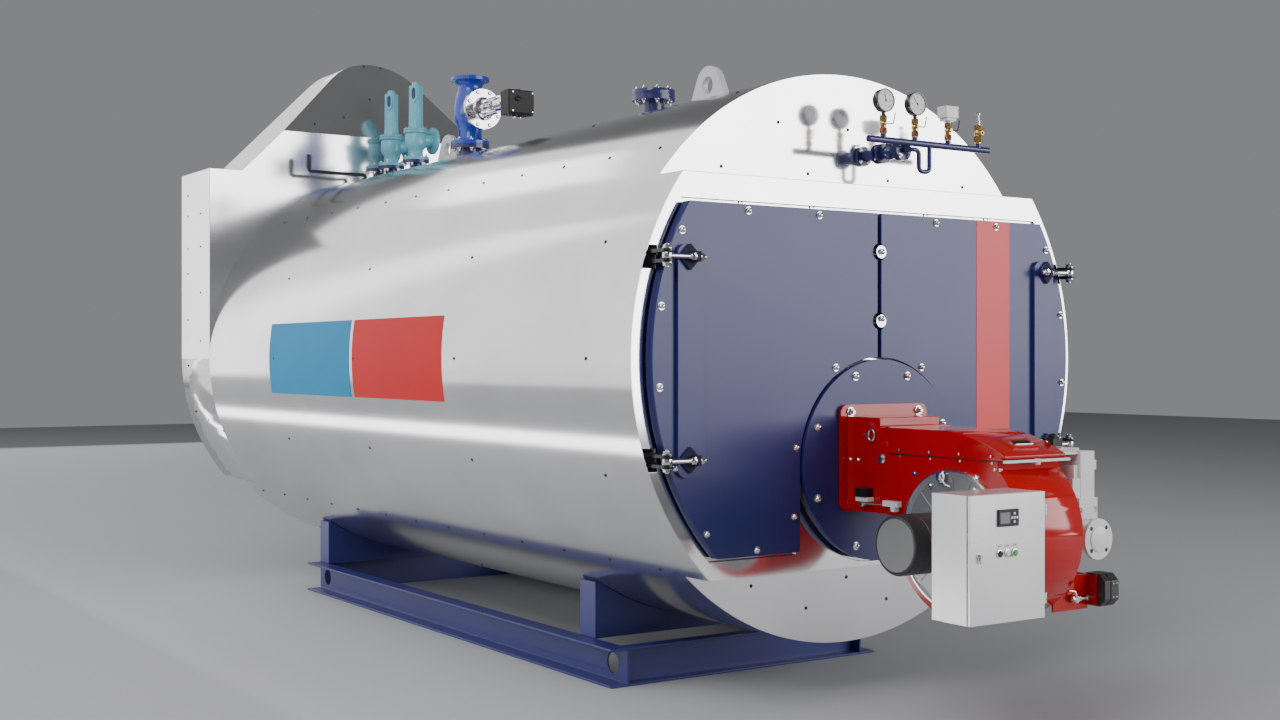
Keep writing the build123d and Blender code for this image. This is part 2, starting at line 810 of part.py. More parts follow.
actuator_back = bonnet_back - yoke_length
with BuildPart() as bonnet:
    with BuildSketch(front_plane(0, bonnet_back, bonnet_height)):
        Circle(bonnet_radius)
    extrude(amount=bonnet_thickness)
    with BuildSketch(front_plane(0, bonnet_back, bonnet_height)):
        with Locations((0, -yoke_rod_offset), (0, yoke_rod_offset)):
            Circle(yoke_rod_radius)
        Circle(yoke_stem_radius)
    extrude(amount=yoke_arm_length)
save(bonnet.part, "steam_valve_bonnet")
with BuildPart() as actuator:
    with BuildSketch(level(0, actuator_back, crown_z + actuator_bottom)):
        Rectangle(2 * actuator_half_width, actuator_length, align=(Align.CENTER, Align.MAX))
    extrude(amount=actuator_top - actuator_bottom)
    with BuildSketch(front_plane(0, bonnet_back - yoke_arm_length, bonnet_height)):
        Circle(actuator_neck_radius)
    extrude(amount=yoke_length - yoke_arm_length)
save(actuator.part, "steam_valve_actuator")

# Safety valves: angle bodies with an outlet flange to the right, and a spring column with a lever box
seat_top = safety_nozzle_height + safety_flange_thickness
with BuildPart() as safety_valves:
    for setback in safety_setbacks:
        y = ring_y + setback
        with BuildSketch(front_plane(0, y, crown_z)):
            with BuildLine():
                Polyline((0, safety_nozzle_height), (safety_flange_radius, safety_nozzle_height),
                         (safety_flange_radius, seat_top), (safety_neck_radius, seat_top),
                         (safety_neck_radius, safety_neck_top), (safety_body_radius, safety_body_base),
                         (safety_body_radius, safety_body_top), (safety_bonnet_flange_radius, safety_body_top),
                         (safety_bonnet_flange_radius, safety_bonnet_top),
                         (safety_column_radius, safety_bonnet_top), (safety_column_radius, safety_column_top),
                         (safety_cap_radius, safety_column_top), (safety_cap_radius, safety_cap_top),
                         (0, safety_cap_top), (0, safety_nozzle_height))
            make_face()
        revolve(axis=Axis((0, y, 0), (0, 0, 1)))
        outlet_z = crown_z + safety_outlet_height
        with BuildSketch(sideways(0, y, outlet_z)):
            Circle(safety_outlet_pipe_radius)
        extrude(amount=safety_outlet_reach)
        with BuildSketch(sideways(safety_outlet_reach, y, outlet_z)):
            Circle(safety_flange_radius)
        extrude(amount=-safety_flange_thickness)
        with BuildSketch(sideways(safety_outlet_reach, y, outlet_z)):
            Circle(safety_outlet_bore)
        extrude(amount=-safety_outlet_bore_depth, mode=Mode.SUBTRACT)
        lever_width, lever_depth, lever_height = safety_lever_size
        with BuildSketch(level(0, y, crown_z + safety_column_top - lever_height)):
            Rectangle(lever_width, lever_depth, align=(Align.MAX, Align.CENTER))
        extrude(amount=lever_height)
save(safety_valves.part, "safety_valves")

# Vent pipe from the shell's top out to the left and up
vent_y = ring_y + vent_setback
vent_foot = chord(shell_radius, vent_start) - 2
with BuildPart() as vent_pipe:
    with BuildLine():
        FilletPolyline(
            (vent_start, vent_y, axis_height + vent_foot),
            (vent_start, vent_y, axis_height + vent_height + vent_radius),
            (vent_left, vent_y, axis_height + vent_height + vent_radius),
            (vent_left, vent_y, axis_height + vent_top),
            radius=vent_radius + 4,
        )
    with BuildSketch(level(vent_start, vent_y, axis_height + vent_foot)):
        Circle(vent_radius)
    sweep()
    with BuildSketch(facing(vent_y - 2 * vent_radius)):
        Circle(shell_radius + seat_gap)
    extrude(amount=-4 * vent_radius, mode=Mode.SUBTRACT)
save(vent_pipe.part, "vent_pipe")

# Instrument header with its bosses and the siphon that feeds it
header_y = ring_y - header_setout
header_z = shelf_z + header_height
boss_top = header_z + header_boss_top
boss_xs = (*gauge_xs, switch_x, drain_x)
stub_end = ring_y - stub_front_flange - stub_flange_thickness
with BuildPart() as header:
    with BuildSketch(sideways(header_left, header_y, header_z)):
        Circle(header_radius)
    extrude(amount=header_right - header_left)
    with BuildSketch(level(0, header_y, header_z)):
        with Locations(*[(x, 0) for x in boss_xs]):
            Circle(header_boss_radius)
    extrude(amount=header_boss_top)
    with BuildLine():
        FilletPolyline(
            (stub_x, stub_end, shelf_z + stub_height),
            (stub_x, header_y, shelf_z + stub_height),
            (siphon_left, header_y, shelf_z + stub_height),
            (siphon_left, header_y, shelf_z + siphon_bottom + siphon_radius),
            (siphon_right, header_y, shelf_z + siphon_bottom + siphon_radius),
            (siphon_right, header_y, header_z),
            radius=siphon_bend,
        )
    with BuildSketch(front_plane(stub_x, stub_end, shelf_z + stub_height)):
        Circle(siphon_radius)
    sweep()
save(header.part, "instrument_header")

# Isolating valve between the upper front panel and the siphon
stub_z = shelf_z + stub_height
with BuildPart() as isolating_valve:
    stub_back = ring_y + smokebox_depth
    with BuildSketch(front_plane(stub_x, stub_back, stub_z)):
        Circle(stub_pipe_radius)
    extrude(amount=stub_back - stub_end)
    for y in (ring_y + stub_rear_flange, ring_y - stub_front_flange):
        with BuildSketch(front_plane(stub_x, y, stub_z)):
            Circle(stub_flange_radius)
        extrude(amount=stub_flange_thickness)
    with Locations((stub_x, ring_y + (stub_rear_flange - stub_front_flange) / 2, shelf_z + stub_height)):
        Sphere(stub_valve_radius)
save(isolating_valve.part, "isolating_valve")

# Gauges on their cocks, the pressure switch and the drain valve
with BuildPart() as gauge_cocks:
    with BuildSketch(level(0, header_y, boss_top)):
        with Locations(*[(x, 0) for x in gauge_xs]):
            Circle(cock_radius)
    extrude(amount=shelf_z + cock_top - boss_top)
    with BuildSketch(level(0, header_y, shelf_z + cock_body_base)):
        with Locations(*[(x, 0) for x in gauge_xs]):
            RegularPolygon(cock_body_radius, 6)
    extrude(amount=cock_body_height)
save(gauge_cocks.part, "gauge_cocks")
with BuildPart() as gauges:
    with BuildSketch(front_plane(0, header_y - gauge_depth / 2, shelf_z + gauge_height)):
        with Locations(*[(x, 0) for x in gauge_xs]):
            Circle(gauge_radius)
    extrude(amount=-gauge_depth)
    with BuildSketch(level(0, header_y, shelf_z + cock_top)):
        with Locations(*[(x, 0) for x in gauge_xs]):
            Circle(gauge_stem_radius)
    extrude(amount=gauge_height - cock_top)
save(gauges.part, "pressure_gauges")
with BuildPart() as pressure_switch:
    width, height, depth = switch_size
    with BuildSketch(level(switch_x, header_y, boss_top)):
        Circle(cock_radius)
    extrude(amount=shelf_z + switch_base - boss_top)
    with BuildSketch(level(switch_x, header_y, shelf_z + switch_base)):
        Rectangle(width, depth)
    extrude(amount=height)
save(pressure_switch.part, "pressure_switch")
with BuildPart() as drain_valve:
    with BuildSketch(level(drain_x, header_y, boss_top)):
        Circle(cock_radius)
    extrude(amount=shelf_z + drain_top - boss_top)
    for base in (cock_body_base, cock_top):
        with BuildSketch(level(drain_x, header_y, shelf_z + base)):
            RegularPolygon(drain_hex_radius, 6)
        extrude(amount=cock_body_height)
save(drain_valve.part, "drain_valve")

# Burner mounting: gasket and flange on the disc
disc_front = ring_y - burner_disc_face
flange_back = disc_front - burner_gasket_thickness
flange_front = flange_back - burner_flange_thickness
for name, back, thickness in (("burner_gasket", disc_front, burner_gasket_thickness),
                              ("burner_flange", flange_back, burner_flange_thickness)):
    with BuildPart() as plate:
        with BuildSketch(burner_facing(back)):
            with Locations((0, -(burner_flange_top + burner_flange_bottom) / 2)):
                RectangleRounded(burner_flange_width, burner_flange_bottom - burner_flange_top,
                                 burner_flange_corner)
        extrude(amount=thickness)
    save(plate.part, name)

# Burner head: the block behind the flange that the duct leads into
head_front = ring_y - head_length
housing_width = housing_right - housing_left
with BuildPart() as burner_head:
    with BuildSketch(level((housing_left + housing_right) / 2, flange_front, furnace_z - head_bottom)):
        Rectangle(housing_width, flange_front - head_front, align=(Align.CENTER, Align.MAX))
    extrude(amount=head_bottom - head_top)
save(burner_head.part, "burner_head")

# Fan scroll: a round casing, a little above and in front of the fan's axis, that runs back into the head
with BuildPart() as fan_scroll:
    with BuildSketch(sideways(housing_left, 0, furnace_z)):
        with Locations((ring_y - fan_axis_y - fan_casing_setout, fan_casing_rise - fan_axis_drop)):
            Circle(fan_radius)
        with Locations((head_front, -hood_split)):
            Rectangle(scroll_front - head_length, head_bottom - hood_split, align=(Align.MAX, Align.MAX))
        with Locations((0, -hood_split)):
            Rectangle(8 * shell_radius, fan_radius, align=(Align.CENTER, Align.MIN), mode=Mode.SUBTRACT)
    extrude(amount=housing_width)
save(fan_scroll.part, "fan_scroll")

# Burner hood: the cover over the duct, curved down to its front lip
with BuildPart() as burner_hood:
    with BuildSketch(sideways(housing_left, ring_y, furnace_z)):
        with BuildLine():
            Polyline((-hood_curve_start, -head_top), (-head_length, -head_top), (-head_length, -hood_split),
                     (-hood_front, -hood_split), (-hood_front, -hood_split + hood_lip))
            TangentArc((-hood_curve_start, -head_top), (-hood_front, -hood_split + hood_lip), tangent=(-1, 0))
        make_face()
    extrude(amount=housing_width)
save(burner_hood.part, "burner_hood")

# Fan side disc and motor
fan_y = ring_y - fan_axis_y
fan_z = furnace_z - fan_axis_drop
with BuildPart() as air_disc:
    with BuildSketch(sideways(housing_left, fan_y, fan_z)):
        Circle(air_disc_radius)
    extrude(amount=-air_disc_thickness)
save(air_disc.part, "fan_side_disc")
with BuildPart() as motor:
    with BuildSketch(sideways(housing_left - air_disc_thickness, fan_y, fan_z)):
        Circle(motor_radius)
    extrude(amount=motor_left - housing_left + air_disc_thickness)
save(motor.part, "fan_motor")

# Control cabinet: sheet body open to the front, hinged door and brackets to the fan scroll
body_front = cabinet_front - cabinet_door_thickness - cabinet_door_gap
cabinet_width = cabinet_right - cabinet_left
cabinet_height = cabinet_bottom - cabinet_top
cabinet_x = (cabinet_left + cabinet_right) / 2
cabinet_z = -(cabinet_top + cabinet_bottom) / 2
with BuildPart() as cabinet:
    with BuildSketch(burner_facing(ring_y - cabinet_back)):
        with Locations((cabinet_x, cabinet_z)):
            Rectangle(cabinet_width, cabinet_height)
    extrude(amount=body_front - cabinet_back)
    with BuildSketch(burner_facing(ring_y - cabinet_back - cabinet_wall)):
        with Locations((cabinet_x, cabinet_z)):
            Rectangle(cabinet_width - 2 * cabinet_wall, cabinet_height - 2 * cabinet_wall)
    extrude(amount=body_front - cabinet_back - cabinet_wall, mode=Mode.SUBTRACT)
    barrel_x = cabinet_right + cabinet_hinge_setoff
    barrel_y = ring_y - cabinet_front + cabinet_door_thickness / 2
    leaf_back = ring_y - body_front + cabinet_hinge_leaf
    for drop in cabinet_hinge_drops:
        hinge_base = furnace_z - drop - cabinet_hinge_length / 2
        leaf_height = (cabinet_hinge_length - cabinet_knuckle) / 2
        for base in (hinge_base, hinge_base + cabinet_hinge_length - leaf_height):
            with BuildSketch(level(barrel_x, barrel_y, base)):
                Circle(cabinet_hinge_radius)
                Rectangle(cabinet_hinge_radius, leaf_back - barrel_y, align=(Align.CENTER, Align.MIN))
            extrude(amount=leaf_height)
        with BuildSketch(level(barrel_x, leaf_back, hinge_base)):
            Rectangle(2 * cabinet_hinge_setoff, cabinet_hinge_leaf / 2, align=(Align.CENTER, Align.MAX))
        extrude(amount=cabinet_hinge_length)
        with BuildSketch(level(barrel_x, barrel_y, hinge_base)):
            Circle(cabinet_pin_radius)
        extrude(amount=cabinet_hinge_length)
save(cabinet.part, "cabinet_body")
with BuildPart() as cabinet_door:
    with BuildSketch(burner_facing(ring_y - cabinet_front + cabinet_door_thickness)):
        with Locations((cabinet_x, cabinet_z)):
            Rectangle(cabinet_width, cabinet_height)
    extrude(amount=cabinet_door_thickness)
    knuckle_height = cabinet_knuckle - 2 * cabinet_knuckle_gap
    for drop in cabinet_hinge_drops:
        with BuildSketch(level(barrel_x, barrel_y, furnace_z - drop - knuckle_height / 2)):
            Circle(cabinet_hinge_radius)
            Rectangle(cabinet_hinge_setoff, cabinet_hinge_radius, align=(Align.MAX, Align.CENTER))
        extrude(amount=knuckle_height)
        with BuildSketch(level(barrel_x, barrel_y, furnace_z - drop - knuckle_height / 2)):
            Circle(cabinet_pin_radius + pin_clearance)
        extrude(amount=knuckle_height, mode=Mode.SUBTRACT)
save(cabinet_door.part, "cabinet_door")
with BuildPart() as cabinet_brackets:
    for drop in cabinet_bracket_drops:
        with BuildSketch(level(housing_left, ring_y - cabinet_back, furnace_z - drop)):
            Rectangle(cabinet_bracket_reach, cabinet_bracket_plate, align=(Align.MAX, Align.MIN))
            Rectangle(cabinet_bracket_plate, cabinet_bracket_length, align=(Align.MAX, Align.MIN))
        extrude(amount=-cabinet_bracket_height)
save(cabinet_brackets.part, "cabinet_brackets")

# Gas train: valve block with its inlet flange, feed pipe to the head, and the servo on its plate
gas_width = gas_right - gas_left
with BuildPart() as gas_valve:
    with BuildSketch(level((gas_left + gas_right) / 2, ring_y - gas_back, furnace_z - gas_bottom)):
        Rectangle(gas_width, gas_front - gas_back, align=(Align.CENTER, Align.MAX))
    extrude(amount=gas_bottom - gas_top)
    for left, right, front, back, top, bottom in (
        (gas_side_left, gas_left, gas_side_front, gas_back, gas_side_top, gas_side_bottom),
        (gas_lower_left, gas_lower_right, gas_lower_front, gas_lower_back, gas_lower_top, gas_bottom),
        (housing_right, gas_left, gas_duct_front, gas_duct_back, gas_duct_top, gas_duct_bottom),
    ):
        with BuildSketch(level(left, ring_y - back, furnace_z - bottom)):
            Rectangle(right - left, front - back, align=(Align.MIN, Align.MAX))
        extrude(amount=bottom - top)
    with BuildSketch(level(gas_flange_x, ring_y - gas_front, furnace_z - gas_foot)):
        Rectangle(2 * gas_neck_radius, 2 * gas_neck_radius, align=(Align.CENTER, Align.MIN))
    extrude(amount=gas_foot - gas_bottom)
    gas_inlet = front_plane(gas_flange_x, ring_y - gas_flange_face, furnace_z - gas_flange_drop)
    with BuildSketch(gas_inlet):
        Circle(gas_neck_radius)
    extrude(amount=-(gas_flange_face - gas_front))
    with BuildSketch(gas_inlet):
        Circle(gas_flange_radius)
    extrude(amount=-gas_flange_thickness)
    with BuildSketch(gas_inlet):
        Circle(gas_bore_radius)
    extrude(amount=-gas_bore_depth, mode=Mode.SUBTRACT)
    with BuildSketch(gas_inlet):
        with PolarLocations(gas_bolt_circle_radius, gas_bolt_count, start_angle=45):
            Circle(gas_bolt_radius)
    extrude(amount=-gas_flange_thickness, mode=Mode.SUBTRACT)
save(gas_valve.part, "gas_valve_block")
with BuildPart() as gas_pipe:
    with BuildLine():
        FilletPolyline(
            (gas_flange_x, ring_y - gas_back, furnace_z - gas_entry_drop),
            (gas_flange_x, ring_y - gas_entry_setout, furnace_z - gas_entry_drop),
            (housing_right, ring_y - gas_entry_setout, furnace_z - gas_entry_drop),
            radius=2 * gas_pipe_radius,
        )
    with BuildSketch(Plane((gas_flange_x, ring_y - gas_back, furnace_z - gas_entry_drop), x_dir=(1, 0, 0),
                           z_dir=(0, 1, 0))):
        Circle(gas_pipe_radius)
    sweep()
save(gas_pipe.part, "gas_feed_pipe")
plate_left = servo_left - servo_plate_thickness
with BuildPart() as servo_bracket:
    with BuildSketch(level(housing_right, ring_y - servo_cross_front, furnace_z - servo_cross_bottom)):
        Rectangle(plate_left - housing_right, servo_plate_thickness, align=(Align.MIN, Align.MIN))
    extrude(amount=servo_cross_bottom - servo_plate_top)
    with BuildSketch(level(plate_left, ring_y - servo_plate_front, furnace_z - servo_plate_bottom)):
        Rectangle(servo_plate_thickness, servo_plate_front - servo_plate_back, align=(Align.MIN, Align.MIN))
    extrude(amount=servo_plate_bottom - servo_plate_top)
save(servo_bracket.part, "servo_bracket")
with BuildPart() as servo:
    with BuildSketch(sideways(servo_left, ring_y, furnace_z)):
        with BuildLine():
            Polyline((-servo_back, -servo_top), (-servo_back, -servo_bottom),
                     (servo_chamfer - servo_front, -servo_bottom), (-servo_front, servo_chamfer - servo_bottom),
                     (-servo_front, -servo_top - servo_chamfer), (servo_chamfer - servo_front, -servo_top),
                     (-servo_back, -servo_top))
        make_face()
    extrude(amount=servo_right - servo_left)
save(servo.part, "gas_servo")
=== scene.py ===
import json
from math import asin, cos, hypot, pi, radians, sin, sqrt, tan

import bmesh
import bpy
from mathutils import Matrix, Vector


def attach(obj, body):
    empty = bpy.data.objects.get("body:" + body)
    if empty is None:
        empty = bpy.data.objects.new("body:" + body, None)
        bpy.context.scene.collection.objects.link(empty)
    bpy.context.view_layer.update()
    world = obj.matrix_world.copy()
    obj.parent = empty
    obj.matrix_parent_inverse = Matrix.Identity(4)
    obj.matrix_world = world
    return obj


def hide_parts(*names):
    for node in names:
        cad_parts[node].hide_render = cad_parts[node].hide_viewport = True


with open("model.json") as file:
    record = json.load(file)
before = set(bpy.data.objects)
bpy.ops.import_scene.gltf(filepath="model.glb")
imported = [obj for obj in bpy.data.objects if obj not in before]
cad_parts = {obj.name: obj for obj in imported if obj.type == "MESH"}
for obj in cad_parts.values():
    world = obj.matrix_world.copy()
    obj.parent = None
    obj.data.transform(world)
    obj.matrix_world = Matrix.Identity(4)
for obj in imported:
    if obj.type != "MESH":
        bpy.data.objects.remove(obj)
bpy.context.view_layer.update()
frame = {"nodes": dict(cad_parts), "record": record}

# Places are in millimetres: x to the right, setback behind the ring's front plane (negative is in front of
# it), and height above the shell's axis
MM = 0.001
RING_Y = -910
AXIS_Z = 1520
SHELL_RADIUS = 1275
CROWN = SHELL_RADIUS
DOOR_FRONT = -50
FRONT = Vector((0, -1, 0))
REAR = Vector((0, 1, 0))
LEFT = Vector((-1, 0, 0))
RIGHT = Vector((1, 0, 0))
UP = Vector((0, 0, 1))
DOWN = Vector((0, 0, -1))
SIDES = {"left": -1, "right": 1}


def at(x, setback, height):
    """Point in the part's frame, in millimetres."""
    return Vector((x, RING_Y + setback, AXIS_Z + height))


# Finishes

# Slot: colour, roughness, metallic, coat and relief
FINISHES = {
    "shell_grey": ((0.78, 0.78, 0.79), 0.13, 0.95, 0.1, 0.001),
    "panel_white": ((0.96, 0.95, 0.97), 0.1, 1, 0.2, 0.001),
    "door_navy": ((0.022, 0.026, 0.15), 0.3, 0, 0, 0.01),
    "frame_violet": ((0.026, 0.03, 0.17), 0.36, 0, 0, 0.02),
    "burner_red": ((0.5, 0.001, 0.001), 0.11, 0, 0.2, 0.004),
    "valve_blue": ((0.01, 0.05, 0.42), 0.26, 0, 0.4, 0.04),
    "valve_teal": ((0.14, 0.44, 0.56), 0.32, 0, 0.2, 0.05),
    "pad_navy": ((0.004, 0.005, 0.03), 0.75, 0, 0, 0.02),
    "pipe_navy": ((0.02, 0.022, 0.12), 0.28, 0, 0.3, 0.02),
    "vessel_steel": ((0.08, 0.078, 0.075), 0.55, 0.3, 0, 0.08),
    "lug_grey": ((0.55, 0.55, 0.57), 0.3, 0, 0.2, 0.03),
    "bright_steel": ((0.78, 0.78, 0.8), 0.14, 1, 0, 0.01),
    "stainless": ((0.72, 0.72, 0.73), 0.24, 1, 0, 0.02),
    "brass": ((0.62, 0.42, 0.14), 0.26, 1, 0, 0.02),
    "black_metal": ((0.01, 0.01, 0.012), 0.3, 0, 0.2, 0.02),
    "black_plastic": ((0.005, 0.005, 0.006), 0.55, 0, 0, 0.04),
    "motor_grey": ((0.032, 0.032, 0.034), 0.38, 0, 0.1, 0.03),
    "motor_end_grey": ((0.17, 0.18, 0.175), 0.34, 0, 0.1, 0.02),
    "disc_grey": ((0.32, 0.33, 0.33), 0.24, 0.5, 0.1, 0.01),
    "cabinet_grey": ((0.84, 0.84, 0.85), 0.26, 0.55, 0.1, 0.02),
    "gas_white": ((0.8, 0.8, 0.81), 0.3, 0, 0.2, 0.02),
    "lining": ((0.62, 0.57, 0.47), 0.85, 0, 0, 0.3),
    "gauge_case": ((0.1, 0.1, 0.11), 0.22, 0.9, 0.2, 0.01),
    "copper": ((0.55, 0.24, 0.12), 0.3, 1, 0, 0.02),
    # Rivets are bright steel; their near-black colour is a painted reflection, standing in for the dark
    # surroundings their domes mirror
    "rivet_painted_dark_reflection": ((0.03, 0.03, 0.034), 0.45, 0.4, 0, 0.01),
    "stripe_red": ((0.8, 0.016, 0.024), 0.36, 0, 0, 0.005),
    "side_red": ((0.58, 0.012, 0.016), 0.45, 0, 0, 0.005),
    "side_blue": ((0.001, 0.23, 0.46), 0.45, 0, 0, 0.005),
    "dial_white": ((0.85, 0.85, 0.84), 0.45, 0, 0, 0.005),
    "screen_grey": ((0.22, 0.23, 0.24), 0.18, 0, 0.4, 0.005),
    "button_green": ((0.02, 0.45, 0.09), 0.28, 0, 0.3, 0.005),
    # Soot together with painted shade: the dark discs in the tube bores also stand in for the depth of the
    # tubes
    "soot_and_bore_shade": ((0.015, 0.014, 0.013), 0.9, 0, 0, 0.3),
}
BRUSHED = {"stainless", "disc_grey"}
BRUSHED_STRETCH = (1, 1, 30)
POLISHED = {"shell_grey", "panel_white"}
POLISHED_SPREAD = 0.008
SPREAD = 0.04
LEAST_ROUGHNESS = 0.03
DULL = {"side_red", "side_blue"}
DULL_SHINE = 0.12
COAT_ROUGHNESS = 0.06
DRIFT_NOISE = (2.2, 5)
GRAIN_NOISE = (55, 3)
SHADE_STOPS = ((0.3, 0.93), (0.7, 1.05))
RELIEF_DEPTH = 0.002
node_slots = {entry["node"]: entry["material_slot"] for entry in frame["record"]["subparts"]}
finished = {}


def put(node, values):
    """Sets the inputs of a shader node."""
    for name, value in values.items():
        node.inputs[name].default_value = value


def finish(slot):
    """Procedural finish of a slot: colour and roughness drift over the surface, with a fine relief."""
    if slot in finished:
        return finished[slot]
    colour, roughness, metallic, coat, relief = FINISHES[slot]
    material = bpy.data.materials.new(slot)
    material.use_nodes = True
    nodes = material.node_tree.nodes
    link = material.node_tree.links.new
    shader = nodes["Principled BSDF"]
    put(shader, {"Metallic": metallic, "Coat Weight": coat, "Coat Roughness": COAT_ROUGHNESS})
    if slot in DULL:
        put(shader, {"Specular IOR Level": DULL_SHINE})
    place = nodes.new("ShaderNodeTexCoord")
    stretch = nodes.new("ShaderNodeMapping")
    put(stretch, {"Scale": BRUSHED_STRETCH if slot in BRUSHED else (1, 1, 1)})
    link(place.outputs["Object"], stretch.inputs["Vector"])

    def noise(scale, detail):
        """Noise over the stretched surface."""
        node = nodes.new("ShaderNodeTexNoise")
        put(node, {"Scale": scale, "Detail": detail})
        link(stretch.outputs["Vector"], node.inputs["Vector"])
        return node.outputs["Fac"]

    drift = noise(*DRIFT_NOISE)
    shades = nodes.new("ShaderNodeValToRGB")
    for element, (stop, share) in zip(shades.color_ramp.elements, SHADE_STOPS):
        element.position = stop
        element.color = (*[min(1, share * part) for part in colour], 1)
    link(drift, shades.inputs["Fac"])
    link(shades.outputs["Color"], shader.inputs["Base Color"])
    gloss = nodes.new("ShaderNodeMapRange")
    spread = POLISHED_SPREAD if slot in POLISHED else SPREAD
    put(gloss, {"To Min": max(LEAST_ROUGHNESS, roughness - spread), "To Max": min(1, roughness + spread)})
    link(drift, gloss.inputs["Value"])
    link(gloss.outputs["Result"], shader.inputs["Roughness"])
    bump = nodes.new("ShaderNodeBump")
    put(bump, {"Strength": relief, "Distance": RELIEF_DEPTH})
    link(noise(*GRAIN_NOISE), bump.inputs["Height"])
    link(bump.outputs["Normal"], shader.inputs["Normal"])
    finished[slot] = material
    return material


# Forms

def across(axis):
    """Two unit vectors square to an axis, which is a unit vector itself."""
    help_axis = UP if abs(axis.z) < 0.9 else RIGHT
    first = help_axis.cross(axis).normalized()
    return first, axis.cross(first)


def spokes(first, second, count, start=0):
    """Vectors evenly round a circle, from the first of two square vectors towards the second."""
    angles = [2 * pi * step / count + start for step in range(count)]
    return [first * cos(angle) + second * sin(angle) for angle in angles]


def plug(radius, height, foot=0):
    """Profile of a round pin with a flat end."""
    return [(radius, foot), (radius, height), (0, height)]


def stub(radius, shoulder, tip, height, foot=0):
    """Profile of a round pin that narrows from its shoulder to its flat tip."""
    return [(radius, foot), (radius, shoulder), (tip, height), (0, height)]


def rectangle(left, low, right, high):
    """Outline of a rectangle."""
    return [(left, low), (right, low), (right, high), (left, high)]


# Angle from which an edge stays crisp in the shading, and from which it is rounded
CREASE = radians(38)
SHARP = radians(40)
WORDS_DEPTH = 0.3


class Shape:
    """Gathers closed forms in one mesh. Places and sizes are in millimetres."""

    def __init__(self):
        self.mesh = bmesh.new()

    def points(self, places):
        """Adds a ring of points to the mesh."""
        return [self.mesh.verts.new(place) for place in places]

    def circle(self, middle, first, second, radius, sides, turn=0):
        """Adds a circle of points, or a single point if the radius is 0."""
        rays = spokes(first, second, sides, turn) if radius else [first * 0]
        return self.points([middle + ray * radius for ray in rays])

    def wrap(self, rings):
        """Lays faces between each ring of points and the next."""
        for below, above in zip(rings, rings[1:]):
            sides = max(len(below), len(above))
            for step in range(sides):
                after = (step + 1) % sides
                if len(below) == 1:
                    self.mesh.faces.new((below[0], above[step], above[after]))
                elif len(above) == 1:
                    self.mesh.faces.new((below[step], above[0], below[after]))
                else:
                    self.mesh.faces.new((below[step], below[after], above[after], above[step]))

    def skin(self, rings):
        """Closed form over a row of rings, with a face on each end that isn't a single point."""
        self.wrap(rings)
        for end in (rings[0][::-1], rings[-1]):
            if len(end) > 1:
                self.mesh.faces.new(end)

    def turned(self, foot, axis, profile, sides, turn=0):
        """Rings of points of a turned form."""
        return [self.circle(foot + axis * along, *across(axis), radius, sides, turn)
                for radius, along in profile]

    def lathe(self, foot, axis, profile, sides=20, turn=0):
        """Turned form: profile is (radius, distance along the axis), from the foot to the tip."""
        self.skin(self.turned(foot, axis, profile, sides, turn))

    def hoop(self, foot, axis, profile, sides):
        """Turned form with a hole: a closed profile of (radius, distance along the axis)."""
        rings = self.turned(foot, axis, profile, sides)
        self.wrap(rings + rings[:1])

    def slab(self, outline, foot, u, v, depth):
        """Flat plate: an outline of (u, v) points at the foot, raised by depth along u x v."""
        rise = u.cross(v).normalized() * depth
        places = [foot + u * a + v * b for a, b in outline]
        self.skin([self.points(places), self.points([place + rise for place in places])])

    def box(self, low, high):
        """Box between two opposite corners."""
        size = high - low
        self.slab(rectangle(0, 0, size.x, size.y), low, RIGHT, REAR, size.z)

    def boxes(self, *rows):
        """Boxes, each a row of x, setback and height of two opposite corners."""
        for row in rows:
            self.box(at(*row[:3]), at(*row[3:]))

    def tube(self, line, radius, sides=10):
        """Round bar or closed pipe along a line of points."""
        rings = []
        last = len(line) - 1
        for index, point in enumerate(line):
            axis = (line[min(index + 1, last)] - line[max(index - 1, 0)]).normalized()
            first = (first - axis * first.dot(axis)).normalized() if index else across(axis)[0]
            rings.append(self.circle(point, first, axis.cross(first), radius, sides))
        self.skin(rings)

    def words(self, text, centre, u, v, height):
        """Raised plain numbers, centred on a point."""
        curve = bpy.data.curves.new("numbers", "FONT")
        curve.body = text
        curve.size = height
        curve.align_x = "CENTER"
        curve.align_y = "CENTER"
        curve.extrude = WORDS_DEPTH / 2
        curve.resolution_u = 2
        holder = bpy.data.objects.new("numbers", curve)
        mesh = bpy.data.meshes.new_from_object(holder)
        turn = Matrix((u, v, u.cross(v))).transposed().to_4x4()
        mesh.transform(Matrix.Translation(centre) @ turn)
        self.mesh.from_mesh(mesh)
        bpy.data.objects.remove(holder)
        bpy.data.curves.remove(curve)
        bpy.data.meshes.remove(mesh)

    def piece(self, name, slot="bright_steel", body="boiler", edge=0, replaces=()):
        """Makes the piece, which rides on a body and takes its finish from a slot."""
        bmesh.ops.recalc_face_normals(self.mesh, faces=self.mesh.faces)
        data = bpy.data.meshes.new(name)
        self.mesh.to_mesh(data)
        self.mesh.free()
        data.transform(Matrix.Scale(MM, 4))
        data.materials.append(finish(slot))
        data.shade_smooth()
        data.set_sharp_from_angle(angle=CREASE)
        piece = bpy.data.objects.new(name, data)
        bpy.context.scene.collection.objects.link(piece)
        if edge:
            round_edges(piece, edge)
        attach(piece, body)
        if replaces:
            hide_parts(*replaces)


def shapes(count):
    """Several empty shapes."""
    return [Shape() for _ in range(count)]


def round_edges(piece, width):
    """Rounds the sharp edges of a piece. The width is in millimetres."""
    bevel = piece.modifiers.new("rounded edges", "BEVEL")
    bevel.width = width * MM
    bevel.segments = 2
    bevel.limit_method = "ANGLE"
    bevel.angle_limit = SHARP
    bevel.harden_normals = True


